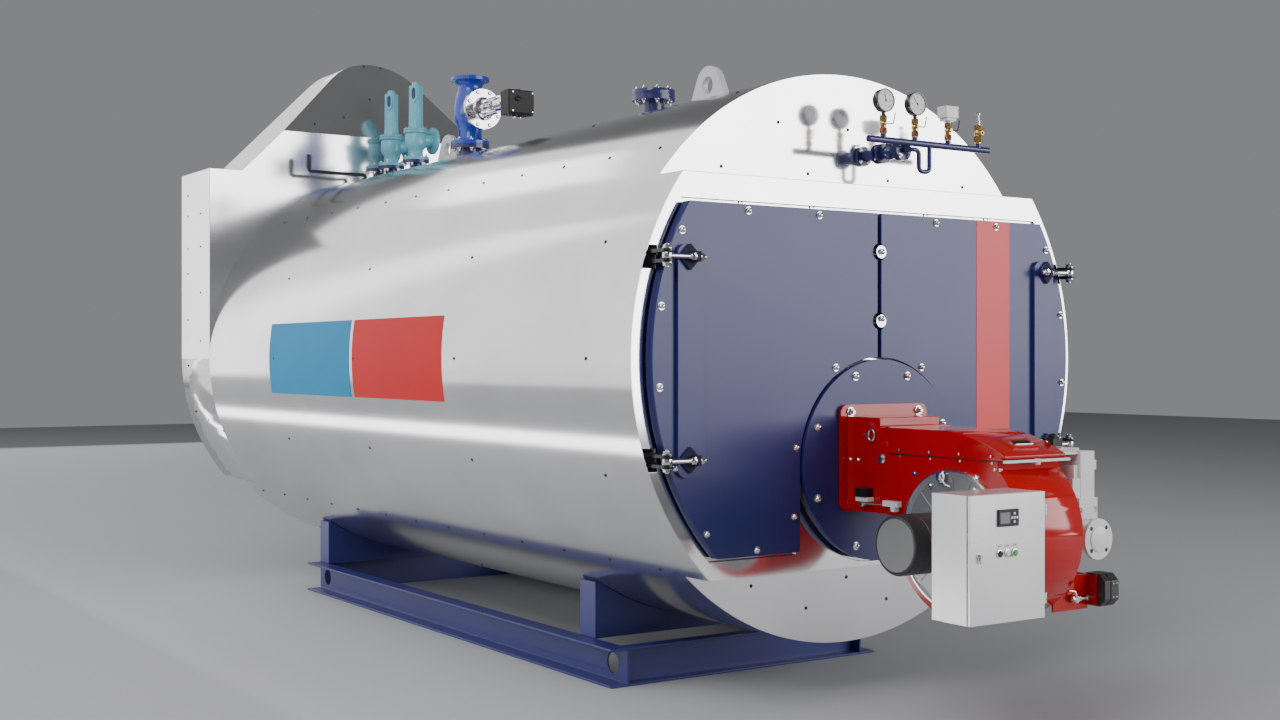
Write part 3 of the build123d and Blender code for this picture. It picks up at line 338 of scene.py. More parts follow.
def bent(start, corner, end, radius=8, steps=6):
    """Line from the start to the end with a round bend at the corner."""
    back = (start - corner).normalized()
    ahead = (end - corner).normalized()
    half = back.angle(ahead) / 2
    middle = corner + (back + ahead).normalized() * radius / sin(half)
    first = corner + back * radius / tan(half) - middle
    last = corner + ahead * radius / tan(half) - middle
    sweep = first.angle(last)
    bend = [middle + (first * sin((1 - share) * sweep) + last * sin(share * sweep)) / sin(sweep)
            for share in [step / steps for step in range(steps + 1)]]
    return [start, *bend, end]


def rivet(shape, place, normal, radius=8, height=4):
    """Blind rivet: a domed head with its hollow pin."""
    shape.lathe(place, normal, [
        (radius, 0), (radius, height * 0.3), (radius * 0.8, height * 0.75), (radius * 0.45, height),
        (radius * 0.35, height), (radius * 0.3, height * 0.5), (0, height * 0.5)], sides=14)


WASHER = 2.5


def dome_nut(shape, place, normal, radius):
    """Cap nut on a washer."""
    shape.lathe(place, normal, plug(radius * 1.3, WASHER), sides=24)
    foot = place + normal * WASHER
    shape.lathe(foot, normal, [(radius, 0), (radius, radius * 0.5), (radius * 0.9, radius * 0.6)], sides=6)
    dome = [(radius * 0.84 * cos(radians(slope)), radius * (0.6 + 0.6 * sin(radians(slope))))
            for slope in range(0, 90, 15)]
    shape.lathe(foot, normal, dome + [(0, radius * 1.2)])


def hex_bolt(shape, place, normal, radius, stud=0, washer=True):
    """Hexagon head or nut on a washer, with the stud's end if it has one."""
    foot = place
    if washer:
        shape.lathe(place, normal, plug(radius * 1.3, WASHER))
        foot = place + normal * WASHER
    shape.lathe(foot, normal, [
        (radius * 0.96, 0), (radius, radius * 0.08), (radius, radius * 0.62),
        (radius * 0.84, radius * 0.75)], sides=6)
    if stud:
        end = radius * 0.75 + stud
        thread = radius * 0.52
        shape.lathe(foot, normal, [(thread, 0), (thread, end), (radius * 0.4, end + 2)], sides=14)


def bolt_ring(shape, centre, normal, circle, count, radius, stud, start):
    """Bolts or nuts round a flange."""
    for spoke in spokes(*across(normal), count, start):
        hex_bolt(shape, centre + spoke * circle, normal, radius, stud)


def disc(shape, place, normal, radius, thickness, sides=48, edge=1):
    """Round plate with a small chamfer on its outer face."""
    shape.lathe(place, normal, [(radius, 0), (radius, thickness - edge), (radius - edge, thickness)], sides)


# CAD nodes that stay: finish, and rounded edges by their width in millimetres

ROUNDED = {
    "long_beams": 3, "cross_beams": 3, "saddles": 3, "door_frame": 2, "left_door": 3, "right_door": 3,
    "upper_front_panel": 1, "lower_front_panel": 1, "smokebox_wall": 1.5, "burner_disc": 3,
    "rear_casing": 3, "rear_hood": 3, "lifting_lugs": 4, "burner_flange": 3, "burner_head": 4,
    "fan_scroll": 3, "burner_hood": 4, "cabinet_body": 1.2, "cabinet_door": 4, "cabinet_brackets": 1,
    "servo_bracket": 1.5, "hinge_brackets": 1.5, "left_eye_bolts": 1, "right_eye_bolts": 1,
    "seam_clamps": 1.5, "blind_cover": 1.5, "gas_valve_block": 3, "burner_gasket": 1, "flue_collar": 1,
}
WELD_REACH = 0.00002


def dress_nodes():
    """Gives every CAD node its finish, and the nodes of the list welded facets and rounded edges."""
    for name, node in frame["nodes"].items():
        node.data.materials.clear()
        node.data.materials.append(finish(node_slots[name]))
        if name in ROUNDED:
            weld = node.modifiers.new("weld", "WELD")
            weld.merge_threshold = WELD_REACH
            round_edges(node, ROUNDED[name])


# Shell, panels and casing

def round_shell(angle, setback):
    """Point and normal on the shell at an angle in degrees from the left, positive upwards."""
    normal = Vector((-cos(radians(angle)), 0, sin(radians(angle))))
    return at(0, setback, 0) + normal * SHELL_RADIUS, normal


FIRST_RING = 340
LAST_RING = 5140
RING_PITCH = 1200
SEAM_PITCH = 400
CASING_START = 5000
UPPER_ROWS_END = 4740


def shell_rivets():
    """Rings of rivets at the sheets' joints, and the four long rows."""
    shape = Shape()
    for setback in range(FIRST_RING, LAST_RING + 1, RING_PITCH):
        for step in range(16):
            angle = 22.5 * step
            over_casing = setback > CASING_START and 0 <= angle <= 180
            if angle == 90 or angle % 45 == 0 and angle % 90 or over_casing:
                continue
            rivet(shape, *round_shell(angle, setback))
    for angle in (45, 135, -45, -135):
        last = LAST_RING if angle < 0 else UPPER_ROWS_END
        for setback in range(FIRST_RING, last + 1, SEAM_PITCH):
            rivet(shape, *round_shell(angle, setback))
    shape.piece("shell_rivets", "rivet_painted_dark_reflection")


def shell_strip(shape, side, angles, steps, ends, lifts):
    """Thin curved strip on one side of the shell, between two angles from the horizontal."""
    low, high = angles
    section = rectangle(ends[0], lifts[0], ends[1], lifts[1])
    rings = []
    for step in range(steps + 1):
        angle = low + (high - low) * step / steps
        outward = Vector((side * cos(angle), 0, sin(angle)))
        rings.append(shape.points([at(0, setback, 0) + outward * (SHELL_RADIUS + lift)
                                   for setback, lift in section]))
    shape.skin(rings)


SHEET_HEIGHTS = (-915, 765)
SHEET_ENDS = (0.5, 175)
SHEET_LIFTS = (-1, 0.6)
SHEET_STEPS = 84


def smokebox_sheets():
    """Thin sheets that carry the cladding forward over both sides of the smokebox front."""
    shape = Shape()
    angles = [asin(height / SHELL_RADIUS) for height in SHEET_HEIGHTS]
    for side in SIDES.values():
        shell_strip(shape, side, angles, SHEET_STEPS, SHEET_ENDS, SHEET_LIFTS)
    shape.piece("smokebox_sheets", "shell_grey")


# Slot: the setbacks where the colour starts and ends
SIDE_STRIPE = {"side_red": (1676, 2760), "side_blue": (2800, 4015)}
STRIPE_ANGLES = (radians(-9.5), radians(9.5))
STRIPE_LIFTS = (0.2, 1.4)
STRIPE_STEPS = 16


def side_stripe():
    """Plain stripe of two colours along the shell's left side."""
    for slot, ends in SIDE_STRIPE.items():
        shape = Shape()
        shell_strip(shape, SIDES["left"], STRIPE_ANGLES, STRIPE_STEPS, ends, STRIPE_LIFTS)
        shape.piece(slot.replace("side_", "side_stripe_"), slot)


UPPER_PANEL_RIVETS = [(-392, 1033), (9, 1032), (410, 1033), (-702, 819), (-224, 818), (252, 817), (729, 817)]
LOWER_PANEL_RIVETS = [(-542, -982), (-235, -1104), (243, -1104), (542, -982), (0, -985)]
BAND_RIVETS = [(-722, 652), (-336, 652), (336, 652), (722, 652)]


def panel_rivets():
    """Rivets on the front panels and small screws on the band above the doors."""
    shape = Shape()
    for x, height in UPPER_PANEL_RIVETS + LOWER_PANEL_RIVETS:
        rivet(shape, at(x, 170, height), FRONT)
    for x, height in BAND_RIVETS:
        rivet(shape, at(x, 0, height), FRONT, radius=5, height=3)
    shape.piece("panel_rivets", "rivet_painted_dark_reflection")


CASING_SIDE_RIVETS = [(5600, 1130), (5600, 990), (5328, 988), (5600, 762), (5328, 762), (5600, 588),
                      (5600, 268), (5600, -49), (5600, -370), (5371, -420), (5328, 450), (5328, 120)]
HOOD_RIVETS = [(65, 1865), (291, 1710), (65, 2120), (520, 1640)]
HOOD_LEAN = radians(22.5)
HOOD_FOOT = 1575


def casing_rivets():
    """Rivets on the rear casing's sides, and on the hood's leaning front."""
    shape = Shape()
    for side in SIDES.values():
        for setback, height in CASING_SIDE_RIVETS:
            normal = Vector((side, 0, 0))
            place = at(side * SHELL_RADIUS, setback, height)
            if height < 0:
                rise = height / SHELL_RADIUS
                normal = Vector((side * sqrt(1 - rise ** 2), 0, rise))
                place = at(0, setback, 0) + normal * SHELL_RADIUS
            rivet(shape, place, normal)
    hood_front = Vector((0, -cos(HOOD_LEAN), sin(HOOD_LEAN)))
    for x, height in HOOD_RIVETS:
        for side in SIDES.values():
            setback = LAST_RING + (height - HOOD_FOOT) * tan(HOOD_LEAN)
            rivet(shape, at(side * x, setback, height), hood_front)
    shape.piece("casing_rivets", "rivet_painted_dark_reflection")


# Smokebox: tube plate, doors and hinges

FURNACE_DROP = -444
MOUTH_CLEARANCE = 500
TUBE_PLATE = 425
TUBE_FIELD = 1020
TUBE_ROWS = 16
TUBE_FOOT = -460
TUBE_PITCH = 96
TUBE_RADIUS = 33
TUBE_BORE = 28


def tube_ends():
    """Fire tubes that stand proud of the tube plate above and beside the furnace mouth."""
    rims, bores = shapes(2)
    for row in range(TUBE_ROWS):
        height = TUBE_FOOT + row * TUBE_PITCH * sqrt(3) / 2
        shift = TUBE_PITCH / 2 if row % 2 else 0
        for column in range(-11, 12):
            x = column * TUBE_PITCH + shift
            if hypot(x, height) < TUBE_FIELD and hypot(x, height - FURNACE_DROP) > MOUTH_CLEARANCE:
                foot = at(x, TUBE_PLATE, height)
                rims.hoop(foot, FRONT, [
                    (TUBE_RADIUS, 0), (TUBE_RADIUS, 7), (TUBE_RADIUS - 2, 9), (TUBE_BORE, 9),
                    (TUBE_BORE, 0)], sides=16)
                # Dark disc in each bore: soot, and painted shade for the depth of the tube
                disc(bores, foot, FRONT, TUBE_BORE, 0.6, sides=16, edge=0.1)
    rims.piece("tube_ends", "vessel_steel")
    bores.piece("tube_bores", "soot_and_bore_shade")


DOOR_NUTS = [(726, 612), (343, 612), (1062, 517), (1163, 209), (1172, -115), (1092, -440), (940, -713),
             (683, -795), (484, -667), (252, -39), (472, -376)]


def door_nuts():
    """Cap nuts round the edges of both doors."""
    for name, side in SIDES.items():
        shape = Shape()
        for x, height in DOOR_NUTS:
            dome_nut(shape, at(side * x, DOOR_FRONT, height), FRONT, radius=12.5)
        shape.piece(f"{name}_door_nuts", "bright_steel", f"{name}_door")


STRIPE_LEFT = 598
STRIPE_RIGHT = 812
STRIPE_TOP = 636
DOOR_RADIUS = 1205
STRIPE_CLEARANCE = 90


def door_stripe():
    """Plain red stripe down the right door."""
    shape = Shape()
    low = STRIPE_CLEARANCE - sqrt(DOOR_RADIUS ** 2 - STRIPE_RIGHT ** 2)
    outline = rectangle(STRIPE_LEFT, low, STRIPE_RIGHT, STRIPE_TOP)
    shape.slab(outline, at(0, DOOR_FRONT, 0), RIGHT, UP, 1.2)
    shape.piece("right_door_stripe", "stripe_red", "right_door")


HINGE_HEIGHT = 408
HINGE_PIN_X = 1169
HINGE_Y = -100
PAD_FRONT = -80
LUG_NEAR = 1016
LUG_FAR = 1034
LUG_HALF = 21
EYE_BOLT_TIP = 986
PAD_X = 1040
PAD_HALF = 54


def hinge_details():
    """Nuts of the hinge pins, and the dark pads, lug sleeves and rod ends of the eye bolts."""
    heights = (HINGE_HEIGHT, -HINGE_HEIGHT)
    fixed = Shape()
    for side in SIDES.values():
        for height in heights:
            pin = at(side * HINGE_PIN_X, HINGE_Y, height)
            for normal in (UP, DOWN):
                hex_bolt(fixed, pin + normal * 27.5, normal, radius=17, stud=3)
    fixed.piece("hinge_pin_nuts")
    for name, side in SIDES.items():
        bright, dark = shapes(2)
        inward = Vector((-side, 0, 0))
        for height in heights:
            tip = at(side * EYE_BOLT_TIP, HINGE_Y, height)
            bright.lathe(tip, inward, [(10, -4), (10, 2), (8, 6), (0, 8)])
            for face, outward in ((LUG_FAR, -inward), (LUG_NEAR, inward)):
                bright.lathe(at(side * face, HINGE_Y, height), outward, plug(20, 3), sides=24)
            diamond = [(-PAD_HALF, 0), (0, -PAD_HALF), (PAD_HALF, 0), (0, PAD_HALF)]
            dark.slab(diamond, at(side * PAD_X, PAD_FRONT, height), RIGHT, UP, 2)
            low, high = sorted((side * (LUG_NEAR - 0.5), side * (LUG_FAR + 0.5)))
            dark.boxes((low, HINGE_Y - LUG_HALF, height - LUG_HALF, high, PAD_FRONT, height + LUG_HALF))
        bright.piece(f"{name}_hinge_details", "bright_steel", f"{name}_door")
        dark.piece(f"{name}_hinge_pads", "pad_navy", f"{name}_door", edge=1)


def seam_nuts():
    """Cap nuts on the clamps at the doors' seam."""
    shape = Shape()
    for height in (468, 175):
        dome_nut(shape, at(0, DOOR_FRONT - 12, height), FRONT, radius=14)
    shape.piece("seam_clamp_nuts")


DISC_CIRCLE = 397


def disc_bolts():
    """Nuts that hold the burner's disc, and the bolts of the burner's flange."""
    shape = Shape()
    for spoke in spokes(RIGHT, UP, 8, pi / 8):
        dome_nut(shape, at(0, -64, FURNACE_DROP) + spoke * DISC_CIRCLE, FRONT, radius=14)
    for x in (-198, 198):
        for height in (-230, -618):
            hex_bolt(shape, at(x, -84, height), FRONT, radius=17, stud=8)
    shape.piece("burner_disc_nuts")


# Top fittings

# Setback of a flanged joint, its bolt circle, bolts, their radius, and the heights of its two faces
CROWN_JOINTS = [(1716, 92, 8, 10, 97, 153), (3825, 105, 8, 11, 75, 127), (4630, 76, 4, 10, 67, 111),
                (5030, 76, 4, 10, 67, 111)]


def nozzle_bolts():
    """Bolts through the flanges on the crown."""
    shape = Shape()
    for setback, circle, count, radius, low, high in CROWN_JOINTS:
        for normal, height in ((UP, high), (DOWN, low)):
            place = at(0, setback, CROWN + height)
            bolt_ring(shape, place, normal, circle, count, radius, stud=7, start=pi / count)
    shape.piece("crown_flange_bolts")


STEAM = 3825
BONNET_HEIGHT = 314
YOKE_END = 384
DRIVE_BACK = 561
DRIVE_FRONT = 698
DRIVE_HALF = 87
GLAND_XS = (-30, 10)


def steam_valve_body():
    """Globe valve casting with its flanges and ribs."""
    body = Shape()
    foot = at(0, STEAM, CROWN)
    body.lathe(foot, UP, [
        (62, 101), (123, 101), (125, 103), (125, 125), (123, 127), (96, 129), (84, 135), (77, 160), (74, 190),
        (78, 216), (91, 246), (101, 278), (106, 312), (107, 340), (103, 376), (94, 410), (82, 444), (78, 468),
        (82, 490), (98, 505), (116, 511), (123, 512), (125, 514), (125, 536), (123, 538), (74, 538),
        (72, 536), (63, 536), (62.5, 534), (62.5, 420), (0, 420)], sides=56)
    branch = at(0, STEAM, CROWN + BONNET_HEIGHT)
    body.lathe(branch, FRONT, [
        (96, 0), (96, 40), (92, 80), (90, 120), (98, 134), (126, 141), (128, 143), (128, 160),
        (126, 162)], sides=56)
    for spoke in spokes(RIGHT, REAR, 4):
        body.tube([foot + spoke * 84 + UP * 132, foot + spoke * 76 + UP * 200], 6, sides=8)
    body.piece("steam_valve_casting", "valve_blue", edge=1, replaces=("steam_valve_body",))


def steam_valve_bonnet():
    """Bonnet with its neck, the yoke's two arms, the collar and the bolts, with black discs as painted shade
    in the bolts' sockets.
    """
    bonnet, sockets, bolts = shapes(3)
    face = at(0, STEAM - 162, CROWN + BONNET_HEIGHT)
    bonnet.lathe(face, FRONT, [
        (128, 0), (130, 2), (130, 21), (127, 24), (74, 24), (72, 27), (70, 38), (58, 44), (34, 46),
        (32, 62), (28, 66), (0, 66)], sides=64)
    bonnet.lathe(face, FRONT, plug(11, 230, 64), sides=24)
    bonnet.lathe(face, FRONT, plug(20, 140, 120), sides=6)
    for lift in (-35, 35):
        bonnet.lathe(face + UP * lift, FRONT, [(28, 20), (28, 46), (22, 58), (22, 226), (0, 226)], sides=32)
    bonnet.lathe(at(0, STEAM - YOKE_END, CROWN + BONNET_HEIGHT), FRONT, [
        (44, 0), (46, 2), (46, 96), (40, 102), (40, 178), (0, 178)], sides=40)
    bonnet.piece("steam_valve_bonnet_yoke", edge=0.8, replaces=("steam_valve_bonnet",))
    # Painted shade: a thin black disc under each bolt stands in for the recess of its socket
    for spoke in spokes(*across(FRONT), 8, pi / 8):
        spot = face + FRONT * 24 + spoke * 110
        sockets.lathe(spot, FRONT, plug(13, 0.6))
        hex_bolt(bolts, spot + FRONT * 0.6, FRONT, radius=8, washer=False)
    sockets.piece("steam_valve_bolt_socket_shade", "black_metal")
    bolts.piece("steam_valve_bonnet_bolts")


def steam_valve_drive():
    """Actuator with its cover, hand knob, pointer and cable glands."""
    drive = Shape()
    low = at(-DRIVE_HALF, STEAM - DRIVE_FRONT, CROWN + 213)
    high = at(DRIVE_HALF, STEAM - DRIVE_BACK, CROWN + 365)
    drive.box(low + Vector((3, 22, 3)), high - Vector((3, 0, 3)))
    drive.box(low + Vector((0, 28, 0)), high - Vector((0, 40, 0)))
    drive.box(low + Vector((6, 0, 8)), Vector((high.x - 12, low.y + 24, high.z - 10)))
    drive.lathe(at(0, STEAM - DRIVE_FRONT + 70, CROWN + 361), UP, stub(22, 8, 16, 12), sides=24)
    drive.lathe(low + Vector((48, 1, 92)), FRONT, stub(17, 10, 13, 13), sides=24)
    pointer = [(-12, -4), (26, -2), (26, 8), (-12, 6)]
    drive.slab(pointer, low + Vector((48, 4, 96)), RIGHT, UP, 16)
    for x in GLAND_XS:
        drive.lathe(Vector((x, low.y + 60, low.z + 8)), DOWN, stub(15, 16, 11, 20), sides=16)
    drive.piece("steam_valve_drive", "black_plastic", edge=6, replaces=("steam_valve_actuator",))
    fittings = Shape()
    for x in GLAND_XS:
        fittings.lathe(Vector((x, low.y + 60, low.z - 12)), DOWN, stub(9, 5, 6, 7, -2), sides=14)
    for x in (low.x + 16, high.x - 22):
        for height in (18, 132):
            fittings.lathe(Vector((x, low.y, low.z + height)), FRONT, plug(4, 1, -1), sides=12)
    fittings.piece("steam_valve_drive_fittings")


SAFETY_SETBACKS = (4630, 5030)
LEVER_FACING = Vector((-0.64, -0.77, 0)).normalized()


def safety_valves():
    """Angle safety valves: cast body with an outlet to the right, spring column, cap and lever box, with a
    dark oval as painted shade in the lever box's slot.
    """
    body, dark, bolts = shapes(3)
    for setback in SAFETY_SETBACKS:
        foot = at(0, setback, CROWN)
        body.lathe(foot, UP, [
            (60, 89), (90.5, 89), (92.5, 91), (92.5, 109), (90.5, 111), (56, 113), (49, 120), (47, 140),
            (50, 158), (62, 174), (72, 192), (74, 204), (74, 262), (70, 272), (82, 276), (84, 278), (84, 289),
            (82, 291), (79, 291.5), (79, 293), (82, 293.5), (84, 295), (84, 304), (82, 306), (56, 308),
            (51, 318), (49, 345), (47, 400), (47, 596), (45, 600), (29, 602), (28, 606), (28, 618), (22, 626),
            (10, 630), (0, 630)], sides=48)
        outlet = at(0, setback, CROWN + 233)
        body.lathe(outlet, RIGHT, [
            (56, 0), (56, 60), (50, 84), (46, 104), (50, 113), (80, 117), (92, 118), (92.5, 119), (92.5, 137),
            (90.5, 139), (33, 139), (32.5, 138), (32.5, 70), (0, 70)], sides=48)
        for spoke in spokes(RIGHT, REAR, 8):
            body.tube([foot + spoke * 47 + UP * 306, foot + spoke * 45 + UP * 596], 5, sides=8)
        for spoke in spokes(RIGHT, REAR, 4):
            body.tube([foot + spoke * 52 + UP * 112, foot + spoke * 45 + UP * 168], 5, sides=8)
        along = UP.cross(LEVER_FACING)
        oval = [(13 * cos(angle) - 3, 26 * sin(angle) + (14 if angle < pi else -14))
                for angle in [2 * pi * step / 28 for step in range(28)]]
        lever_frame = [(3 + u * 1.8, v * 1.35) for u, v in oval]
        body.slab(lever_frame, foot + UP * 544 + LEVER_FACING * 20, along, UP, 34)
        # Painted shade: a thin dark oval stands in for the opening of the lever's slot
        dark.slab(oval, foot + UP * 544 + LEVER_FACING * 53, along, UP, 1.5)
        bolts.lathe(foot + UP * 486 + LEVER_FACING * 40, LEVER_FACING, stub(9, 12, 6, 14), sides=16)
        bolt_ring(bolts, foot + UP * 306, UP, 68, 8, 7, stud=4, start=pi / 8)
    body.piece("safety_valve_castings", "valve_teal", edge=1, replaces=("safety_valves",))
    dark.piece("safety_valve_lever_slot_shade", "pipe_navy")
    bolts.piece("safety_valve_bolts", "valve_teal")


def vent_details():
    """Thicker upright and bright cap of the vent pipe, and its collar on the shell."""
    sleeve = Shape()
    sleeve.lathe(at(-640, 4970, 1300), UP, stub(17, 96, 12.5, 100))
    sleeve.lathe(at(-225, 4970, 1252), UP, stub(26, 8, 18, 12))
    sleeve.piece("vent_sleeve", "black_metal")
    cap = Shape()
    cap.lathe(at(-640, 4970, 1396), UP, stub(13, 9, 10, 12.5))
    cap.piece("vent_cap")


# Instruments

HEADER_Y = -83
GAUGE_XS = (-8, 180)
GAUGE_HEIGHT = 1128
SWITCH_X = 383
DRAIN_X = 574
DIAL_START = 225
DIAL_STEP = 9
DIAL_MARKS = 31
# Inner and outer radius and half width of the long and the short divisions
LONG_MARK = (36, 43, 0.8)
SHORT_MARK = (40, 43, 0.4)
NEEDLE_TURNS = (120, 96)


def gauges():
    """Dial gauges with bezels, dials with divisions and numbers, and needles."""
    case, dial, marks = shapes(3)

    def mark(turn, outline, lift, depth):
        """Flat mark on the dial at a turn from its start, and the way it points."""
        angle = radians(DIAL_START - turn)
        outward = RIGHT * cos(angle) + UP * sin(angle)
        marks.slab(outline, top + FRONT * lift, outward, FRONT.cross(outward), depth)
        return outward

    for x, needle in zip(GAUGE_XS, NEEDLE_TURNS):
        back = at(x, HEADER_Y + 20, GAUGE_HEIGHT)
        case.lathe(back, FRONT, [
            (40, 0), (47, 2), (50, 6), (50, 29), (52, 31), (52, 37), (50, 40), (47, 40), (46, 38), (46, 35),
            (0, 35)], sides=48)
        case.lathe(at(x, HEADER_Y, 1078), DOWN, [(9, -6), (9, 10), (7, 12), (7, 30), (0, 30)], sides=16)
        disc(dial, back + FRONT * 35, FRONT, 46, 1.0, edge=0.2)
        top = back + FRONT * 36
        for step in range(DIAL_MARKS):
            inner, outer, half = SHORT_MARK if step % 5 else LONG_MARK
            outward = mark(DIAL_STEP * step, rectangle(inner, -half, outer, half), 0, 0.5)
            if step % 5 == 0:
                marks.words(str(4 * step // 5), top + outward * 29.5 + FRONT * 0.2, RIGHT, UP, 8.5)
        mark(needle, [(-10, -1.6), (36, -0.5), (36, 0.5), (-10, 1.6)], 1.2, 0.6)
        marks.lathe(top, FRONT, plug(4, 2.6), sides=16)
    case.piece("gauge_cases", "gauge_case", replaces=("pressure_gauges",))
    dial.piece("gauge_dials", "dial_white")
    marks.piece("gauge_marks", "black_plastic")


def cocks():
    """Brass cocks under the gauges and the switch, with their wire levers."""
    brass, unions, levers = shapes(3)
    for x in (*GAUGE_XS, SWITCH_X):
        top = 1056 if x == SWITCH_X else 1066
        foot = at(x, HEADER_Y, 0)
        brass.lathe(foot, UP, [
            (9, 1008), (12, 1010), (13, 1020), (15, 1027), (13, 1034), (10, 1038), (0, 1038)])
        brass.lathe(foot, UP, [
            (15, 1038), (16.5, 1040), (16.5, 1062), (15, top - 2), (9, top), (0, top)], sides=6)
        brass.lathe(at(x, HEADER_Y - 12, 1027), FRONT, stub(8, 8, 6, 10, -14), sides=16)
        unions.lathe(foot, UP, [(15, 984), (17, 986), (17, 1006), (15, 1009), (0, 1009)], sides=6)
        start = at(x + 6, HEADER_Y - 20, 1027)
        levers.tube(bent(start, start + RIGHT * 34, start + RIGHT * 46 + UP * 48), 2.6, sides=8)
    brass.piece("cock_bodies", "brass", edge=0.6, replaces=("gauge_cocks",))
    unions.piece("cock_unions", "copper", edge=0.6)
    levers.piece("cock_levers", "black_metal")


def pressure_switch():
    """Switch housing with a lid, on its threaded neck."""
    shape = Shape()
    for half_x, half_y, low, high in ((36, 30, 1084, 1135), (28, 24, 1070, 1084), (37, 31, 1125, 1133)):
        shape.boxes((SWITCH_X - half_x, HEADER_Y - half_y, low, SWITCH_X + half_x, HEADER_Y + half_y, high))
    shape.lathe(at(SWITCH_X, HEADER_Y, 1052), UP, plug(13, 20))
    for x in (-30, 30):
        shape.lathe(at(SWITCH_X + x, HEADER_Y - 24, 1133), UP, plug(4, 1.6), sides=12)
    shape.piece("pressure_switch_housing", "gas_white", edge=2, replaces=("pressure_switch",))


def drain_valve():
    """Small relief valve at the header's end: brass body and bright spindle with a lever."""
    brass, bright = shapes(2)
    foot = at(DRAIN_X, HEADER_Y, 0)
    brass.lathe(foot, UP, plug(13, 990, 982))
    brass.lathe(foot, UP, [(19, 990), (21, 992), (21, 1016), (19, 1018), (0, 1018)], sides=6)
    brass.lathe(foot, UP, [(14, 1018), (17, 1024), (17, 1040), (13, 1046), (0, 1046)])
    brass.lathe(foot, UP, [(17, 1046), (19, 1048), (19, 1066), (17, 1068), (0, 1068)], sides=6)
    outlet = [(12, 0), (12, 26), (10, 28), (7, 28), (7, 20), (0, 20)]
    brass.lathe(at(DRAIN_X, HEADER_Y, 1030), FRONT, outlet)
    brass.piece("drain_valve_body", "brass", edge=0.6, replaces=("drain_valve",))
    bright.lathe(foot, UP, [
        (10, 1068), (10, 1084), (6, 1088), (6, 1112), (11, 1114), (11, 1122), (7, 1126), (0, 1126)])
    lever = foot + UP * 1092
    bright.tube(bent(lever, lever + RIGHT * 26, lever + RIGHT * 34 + DOWN * 52), 3.2, sides=8)
    bright.piece("drain_valve_spindle")


def isolating_valve_bolts():
    """Bolts of the isolating valve's two flanged joints, and its packing nut and lever."""
    shape = Shape()
    for setback, normal in ((-46, FRONT), (-32, REAR), (113, FRONT), (127, REAR)):
        bolt_ring(shape, at(149, setback, 927), normal, 35, 4, 7, stud=4, start=pi / 4)
    shape.piece("isolating_valve_bolts")
    flanges = Shape()
    for setback in (-16, 98):
        disc(flanges, at(149, setback, 927), FRONT, 45, 13, edge=1)
    flanges.lathe(at(149, 47, 955), UP, [(18, 0), (18, 14), (12, 18), (8, 34), (0, 34)])
    flanges.tube([at(149, 47, 984), at(196, 38, 990)], 5)
    flanges.piece("isolating_valve_flanges", "pipe_navy")


# Burner

BURNER_LEFT = -217
BURNER_RIGHT = 128
# Setback and height of the centre of the hood's curved top, and its radius
HOOD_ARC = (-640, -1010.6, 723.6)
HOOD_WINDOW = -905
SEAM_LOW = -392


def on_hood(setback):
    """Height and outward normal of the hood's curved top at a setback."""
    centre_y, centre_z, radius = HOOD_ARC
    lean = (centre_y - setback) / radius
    rise = sqrt(1 - lean * lean)
    return centre_z + radius * rise, Vector((0, -lean, rise))


def hood_details():
    """Edge strip and rivets of the hood, its window, lip and seams, with a black strip as painted shadow in
    the seam's gap.
    """
    left, right = BURNER_LEFT, BURNER_RIGHT
    strip, dark, bright, lip = shapes(4)
    strip.boxes(
        (left - 7, -976, SEAM_LOW, left, -340, -381), (right, -976, SEAM_LOW, right + 7, -340, -381),
        (left - 2, -346, -650, left, -330, -290), (left - 4, -352, -290, right + 4, -328, -283))
    for setback in (-700, -760):
        height, normal = on_hood(setback)
        outline = rectangle(left + 10, 0, right - 10, 6)
        strip.slab(outline, at(0, setback, height - 1), RIGHT, normal.cross(RIGHT), 4)
    height, normal = on_hood(HOOD_WINDOW)
    along = normal.cross(RIGHT)
    window = at(-45, HOOD_WINDOW, height)
    strip.slab(rectangle(-72, -34, 72, 34), window - normal * 2, RIGHT, along, 12)
    strip.piece("hood_trim", "burner_red", edge=1.2)

    dark.slab(rectangle(-46, -15, 46, 15), window + normal * 9, RIGHT, along, 2)
    # Painted shadow: a thin black strip along the hood's split line stands in for the shadow in the seam's
    # gap
    dark.boxes((left - 1.2, -976, SEAM_LOW - 4, left, -340, SEAM_LOW))
    dark.piece("hood_window_and_seam_shadow", "black_plastic")

    for x in (-58, 58):
        bright.lathe(window + RIGHT * x + normal * 10, normal, stub(7, 3, 4, 5), sides=16)
    bar = window + normal * 11 - along * 19
    bright.tube([bar - RIGHT * 48, bar + RIGHT * 48], 3)
    for setback in (-411, -585, -751, -921):
        for x, height in ((left - 7, -376), (left, -403)):
            bright.lathe(at(x, setback, height), LEFT, [(5.5, 0), (5, 2.5), (0, 4)], sides=12)
    for setback in (-937, -965):
        bright.lathe(at(left, setback, -426), LEFT, [(9, 0), (9, 2), (6, 6), (0, 7)], sides=16)
    for setback, height, radius in ((-839, -466, 11), (-155, -431, 7), (-106, -431, 6), (-500, -468, 6)):
        hex_bolt(bright, at(left, setback, height), LEFT, radius=radius)
    bright.boxes((left - 6, -518, -473, left, -482, -463))
    bright.piece("hood_fasteners")

    lip.boxes((left - 4, -998, -401, right + 12, -980, -390))
    lip.lathe(at(-40, -990, -398), DOWN, stub(13, 8, 9, 14, -10))
    lip.piece("hood_lip", "gas_white", edge=2)


